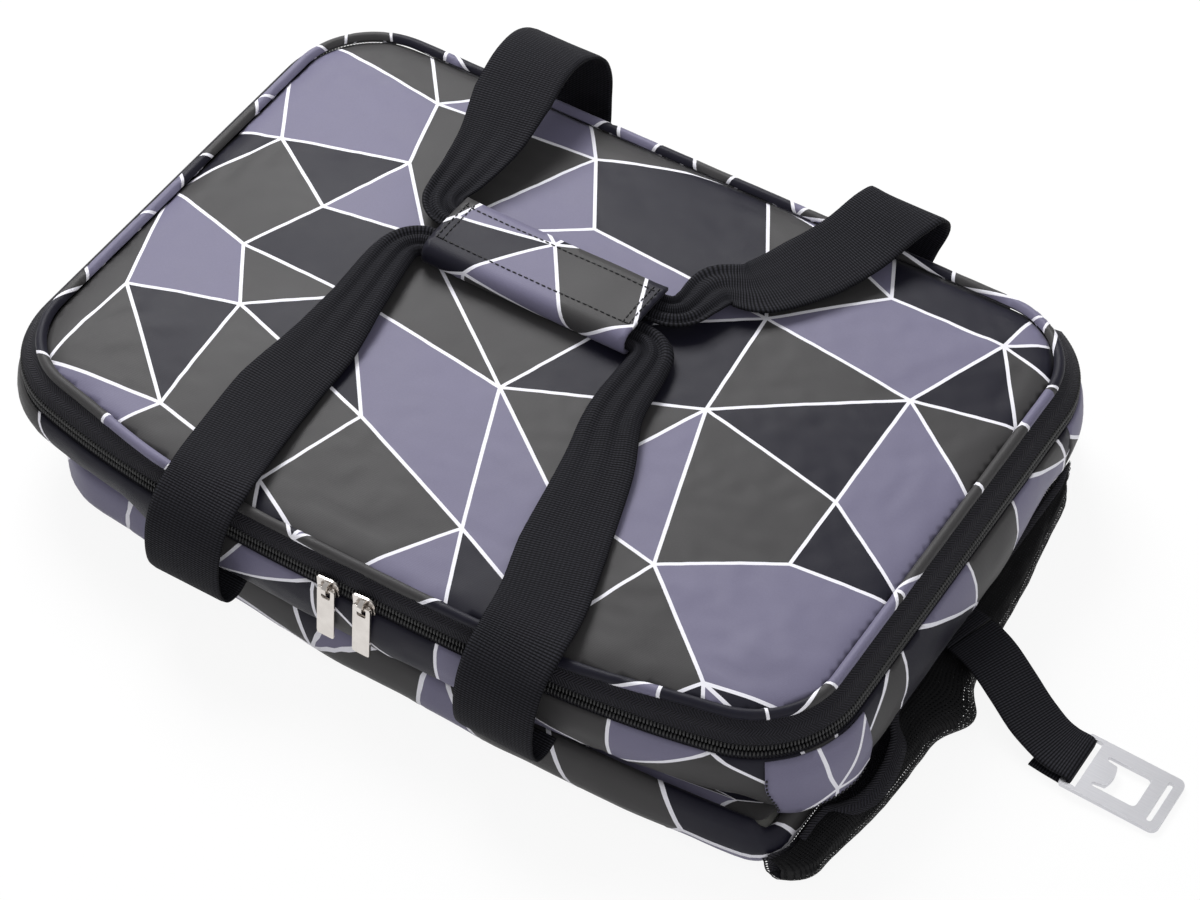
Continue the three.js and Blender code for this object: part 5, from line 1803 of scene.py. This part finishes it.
@dataclass
class Handles:
    """The two carry handles of webbing and the wrap round their grips."""

    handle_x: float = 83.0
    wrap_left: float = -69.0
    wrap_right: float = 35.0
    front_y: float = 12.95
    rear_y: float = 30.25
    grip_z: float = 82.3
    crown_z: float = 75.05
    hem_z: float = 29.5
    front_edge: float = -151.9
    rear_edge: float = 137.0
    turn_r: float = 12.0

    def turn(self, x: float, y: float, start: float, end: float) -> list[Station]:
        """Quarter turn from a leg into the grip."""
        side = math.copysign(1.0, math.cos(math.radians(start)))
        stations = []
        for t in (0.0, 0.33, 0.67, 1.0):
            a = math.radians(mix(start, end, t))
            c, s = math.cos(a), math.sin(a)
            stations.append(Station((x + self.turn_r * c, y + self.turn_r * s, self.grip_z),
                                    (side * c, side * s, 0.0), mix(0.85, 1.0, t)))
        return stations

    @staticmethod
    def mirrored(stations: Sequence[Station]) -> list[Station]:
        """Stations in the other order, with the width's heading turned round."""
        return [Station(s.at, tuple(-c for c in s.across), s.roll) for s in reversed(stations)]

    def grip(self, y: float) -> list[Station]:
        """Stations inside the wrap."""
        return [Station((mix(self.wrap_left, self.wrap_right, t), y, self.grip_z), (0.0, -1.0, 0.0), 1.0)
                for t in (0.08, 0.5, 0.92)]

    def front(self) -> bpy.types.Object:
        """The front handle."""
        x, edge, hem, top = self.handle_x, self.front_edge, self.hem_z, self.crown_z
        across = (1.0, 0.0, 0.0)

        def loop(at: float) -> list[Station]:
            """From the hem out and up over the lid's front edge."""
            return [Station((at, y, z), across) for y, z in [
                (edge - 0.5, hem - 2.9), (edge - 7, hem - 5.3), (edge - 13.5, hem - 3.3),
                (edge - 17.5, hem + 3.5),
                (edge - 18.5, mix(hem, top, 0.32)), (edge - 15.5, mix(hem, top, 0.63)), (edge - 8, top - 6),
                (edge + 5, top + 0.5)]]

        left = [*loop(8 - x),
                Station((-x + 5, edge + 30, top + 0.2), across),
                Station((-x + 3, edge + 60, top + 1), across),
                Station((-x + 5, self.front_y - 75, top + 3.4), (1.0, 0.12, 0.0), 0.25),
                Station((-x + 4, self.front_y - 47, top + 6.5), (1.0, 0.2, 0.0), 0.6),
                *self.turn(self.wrap_left - 1, self.front_y - self.turn_r, 180, 90)]
        right = [*loop(x - 2),
                 Station((x - 5, edge + 24, top + 0.2), across),
                 Station((x - 13, edge + 52, top + 0.8), across),
                 Station((x - 23, self.front_y - 71, top + 3.4), across, 0.3),
                 Station((self.wrap_right + 16, self.front_y - 43, top + 6.5), across, 0.62),
                 *self.turn(self.wrap_right + 1, self.front_y - self.turn_r, 0, 90)]
        surface = Strap().surface([*left, *self.grip(self.front_y), *self.mirrored(right)])
        obj = surface.build("front_handle_webbing", Finish.WEBBING, "black_webbing")
        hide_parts("front_webbing")
        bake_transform(obj)
        return obj

    def rear(self) -> bpy.types.Object:
        """The rear handle."""
        x, edge, hem, top = self.handle_x, self.rear_edge, self.hem_z, self.crown_z
        across = (1.0, 0.0, 0.0)
        y = self.rear_y
        left = [
            Station((-x, edge + 9.5, hem + 4.5), across),
            Station((-x, edge + 12.5, mix(hem, top, 0.36)), across),
            Station((-x, edge + 13.5, mix(hem, top, 0.71)), across),
            Station((-x, edge + 13.5, top + 3), across),
            Station((-x - 1, edge + 9, top + 15), across), Station((-x - 3, edge - 3, top + 23), across),
            Station((-x - 3, edge - 19, top + 24.5), across), Station((-x - 1, edge - 39, top + 20), across),
            Station((-x + 2, y + 46, top + 13.5), across, 0.3),
            Station((-x + 2, y + 26, top + 9.5), across, 0.6),
            *self.turn(self.wrap_left - 1, y + self.turn_r, 180, 270)]
        right = [
            Station((x, edge + 9.5, hem + 4.5), across),
            Station((x + 4, edge + 12.8, mix(hem, top, 0.36)), across),
            Station((x + 8, edge + 13.8, mix(hem, top, 0.67)), across),
            Station((x + 12, edge + 13.5, top - 2), across),
            Station((x + 12, edge + 8, top + 6.5), across),
            Station((x + 9, edge - 3, top + 8.5), (1, -0.2, 0)),
            Station((x + 3, edge - 25, top + 5.5), (1, -0.3, 0)),
            Station((x - 6, edge - 47, top + 4.2), (1, -0.4, 0)),
            Station((self.wrap_right + 29, y + 36, top + 5.2), (0.9, -0.45, 0), 0.28),
            Station((self.wrap_right + 16, y + 26, top + 7), (0.95, -0.3, 0), 0.6),
            *self.turn(self.wrap_right + 1, y + self.turn_r, 360, 270)]
        surface = Strap().surface([*left, *self.grip(y), *self.mirrored(right)])
        obj = surface.build("rear_handle_webbing", Finish.WEBBING, "black_webbing")
        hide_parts("rear_webbing")
        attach(obj, "rear_handle")
        return obj

    def wrap(self) -> list[bpy.types.Object]:
        """The printed sleeve that holds the two grips together, and its stitching."""
        y0, z0, deep, tall = 1.6, self.crown_z + 1.35, 37.4, 12.4
        r = tall / 2
        path: list[Vec2] = [(y0 + 33, z0), (y0 + 22, z0), (y0 + r, z0)]
        path += [(y0 + r - r * math.sin(a), z0 + r - r * math.cos(a))
                 for a in np.linspace(0.3, math.pi - 0.3, 8)]
        path += [(y0 + r + 4, z0 + tall), (y0 + 18, z0 + tall + 0.3),
                 (y0 + 28, z0 + tall - 0.1), (y0 + deep, z0 + tall - 0.8)]
        line = smooth_line([(0.0, y, z) for y, z in path], 4)
        lengths = [0.0]
        for a, b in zip(line, line[1:]):
            lengths.append(lengths[-1] + math.dist(a, b))
        length, girth = self.wrap_right - self.wrap_left, lengths[-1]
        ys, zs = [p[1] for p in line], [p[2] for p in line]
        layout = Print(length, girth, SEED + 53, spacing=46)

        def place(u: float, v: float) -> Vec3:
            """Cloth to space."""
            y, z = float(np.interp(v, lengths, ys)), float(np.interp(v, lengths, zs))
            end = min(u, length - u)
            flare = 0.5 * math.exp(-end / 5) + 0.35 * bumps(u, v, 31.0, 18)
            return (self.wrap_left + u, y, z + flare * (1 if z > z0 + r else -0.2))

        sheet = printed_strip(layout, length, girth, 3.0, place)
        obj = sheet.build("grip_printed_wrap", Finish.PRINT, "print_light")
        thicken(obj, 1.6)
        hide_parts("grip_wrap")
        top = float(np.interp(y0 + r + 2, ys[len(ys) // 2:], lengths[len(ys) // 2:]))

        def row(u0: float, v0: float, u1: float, v1: float) -> list[Vec3]:
            """A line just above the sleeve's top."""
            shares = np.linspace(0, 1, 24)
            return [tuple(np.add(place(mix(u0, u1, t), mix(v0, v1, t)), (0, 0, 0.25))) for t in shares]

        rows = [row(u, top, u, girth - 1.5) for u in (2.5, 5.5, length - 5.5, length - 2.5)]
        rows += [row(1.5, girth - 5, length - 1.5, girth - 5), row(2.5, top + 1, length - 2.5, top + 1)]
        thread = Seam().laid("grip_wrap_stitching", rows)
        for piece in (obj, thread):
            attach(piece, "rear_handle")
        return [obj, thread]

    def build(self) -> list[bpy.types.Object]:
        """Build the handles' pieces."""
        return [
            self.front(), self.rear(), *self.wrap(),
            refined("wrap_hook_patch", Finish.NYLON, "rear_handle", 0.2),
            refined("wrap_loop_patch", Finish.NYLON, "rear_handle", 0.2),
        ]


# Opener


@dataclass
class Opener:
    """The strap at the side seam and the steel opener on it."""

    bend_x: float = 215.0
    bar: Vec3 = (278.5, -32.0, 3.4)
    width: float = 25.0
    thick: float = 1.3

    def strap(self, name: str, stations: Sequence[Station], node: str, body: str) -> bpy.types.Object:
        """A stretch of the strap."""
        maker = Strap(width=self.width, thick=self.thick, columns=12, times=5)
        obj = maker.surface(stations).build(name, Finish.WEBBING, "black_webbing")
        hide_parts(node)
        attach(obj, body)
        return obj

    def build(self) -> list[bpy.types.Object]:
        """Build the opener's pieces."""
        x, y, z = self.bar
        slant, across = (0.25, 0.97, 0.0), (0.0, 1.0, 0.0)
        root = [Station((204.75, y + 26.4, 18.2), slant), Station((207.55, y + 25.4, 18.7), slant),
                Station((self.bend_x - 0.6, y + 23.3, 19.45), slant)]
        r = 1.2 + 0.75 + self.thick / 2
        around = [Station((x + r * math.cos(math.radians(a)), y, z + r * math.sin(math.radians(a))), across)
                  for a in (90, 45, 0, -45, -90)]
        run = [Station((self.bend_x, y + 23, 19.5), slant), Station((self.bend_x + 5.5, y + 21, 19.9), slant),
               Station((x - 48.5, y + 17, 19), slant), Station((x - 36.5, y + 11.5, 14.6), slant),
               Station((x - 24.5, y + 6, 9.6), slant), Station((x - 13.5, y + 2, 6.8), across),
               Station((x - 6.5, y + 0.4, z + r + 0.1), across), *around,
               Station((x - 6, y + 0.3, z - r + 0.2), across),
               Station((x - 15, y + 1.4, z - r + 0.25), across)]
        return [
            self.strap("opener_strap_root", root, "opener_anchor", "base"),
            self.strap("opener_strap_run", run, "opener_strap", "opener_strap"),
            refined("opener_plate", Finish.STEEL, "opener_plate", 0.35),
        ]


# Studio


@dataclass
class Studio:
    """Floor, light and the camera of the photograph."""

    location: Vec3 = (0.5784, -0.8761, 1.181)
    right: Vec3 = (0.845, 0.534, 0.0)
    down: Vec3 = (0.400, -0.632, -0.664)
    focal_px: float = 3526.0
    width_px: float = 1200.0

    def camera(self) -> None:
        """Place the camera."""
        data = bpy.data.cameras.new("camera")
        data.sensor_width = 36.0
        data.lens = self.focal_px / self.width_px * data.sensor_width
        data.clip_end = 20.0
        obj = bpy.data.objects.new("camera", data)
        x = Vector(self.right).normalized()
        y = -Vector(self.down)
        y = (y - x * y.dot(x)).normalized()
        z = x.cross(y)
        rotation = Matrix((x, y, z)).transposed()
        obj.matrix_world = Matrix.Translation(self.location) @ rotation.to_4x4()
        bpy.context.scene.collection.objects.link(obj)
        bpy.context.scene.camera = obj

    def lamp(self, name: str, where: Vec3, size: float, watts: float) -> None:
        """Add an area lamp that looks at the bag."""
        data = bpy.data.lights.new(name, "AREA")
        data.size = size
        data.energy = watts
        obj = bpy.data.objects.new(name, data)
        obj.location = where
        obj.rotation_euler = (Vector((0, 0, 0.05)) - Vector(where)).to_track_quat("-Z", "Y").to_euler()
        bpy.context.scene.collection.objects.link(obj)

    def world(self, strength: float) -> None:
        """Even pale surroundings."""
        world = bpy.data.worlds.new("studio")
        world.use_nodes = True
        background = world.node_tree.nodes["Background"]
        background.inputs["Color"].default_value = (1.0, 1.0, 1.0, 1.0)
        background.inputs["Strength"].default_value = strength
        bpy.context.scene.world = world

    def floor(self) -> None:
        """The pale floor."""
        mesh = bpy.data.meshes.new("floor")
        half = 12.0
        corners = [(-half, -half, 0), (half, -half, 0), (half, half, 0), (-half, half, 0)]
        mesh.from_pydata(corners, [], [(0, 1, 2, 3)])
        obj = bpy.data.objects.new("floor", mesh)
        obj.location.z = -0.0005
        obj.data.materials.append(Finish.FLOOR.material())
        bpy.context.scene.collection.objects.link(obj)

    def build(self) -> None:
        """Build the studio."""
        self.camera()
        self.floor()
        self.world(0.44)
        self.lamp("key", (-1.0, 0.8, 1.5), 0.9, 40.0)
        self.lamp("fill", (1.6, -1.2, 1.6), 2.2, 12.0)
        bpy.context.scene.view_settings.view_transform = "Standard"


def report(pieces: Iterable[bpy.types.Object]) -> None:
    """Log each piece with its count of faces."""
    for piece in pieces:
        LOG.info("%s: %d faces", piece.name, len(piece.data.polygons))


def main() -> None:
    """Build the studio and every sub-assembly."""
    logging.basicConfig(level=logging.INFO, format="%(message)s")
    Studio().build()
    for maker in (Lid(), Zipper(), Rim(), Tub(), Pocket(), Handles(), Opener()):
        report(maker.build())


if __name__ == "__main__":
    main()
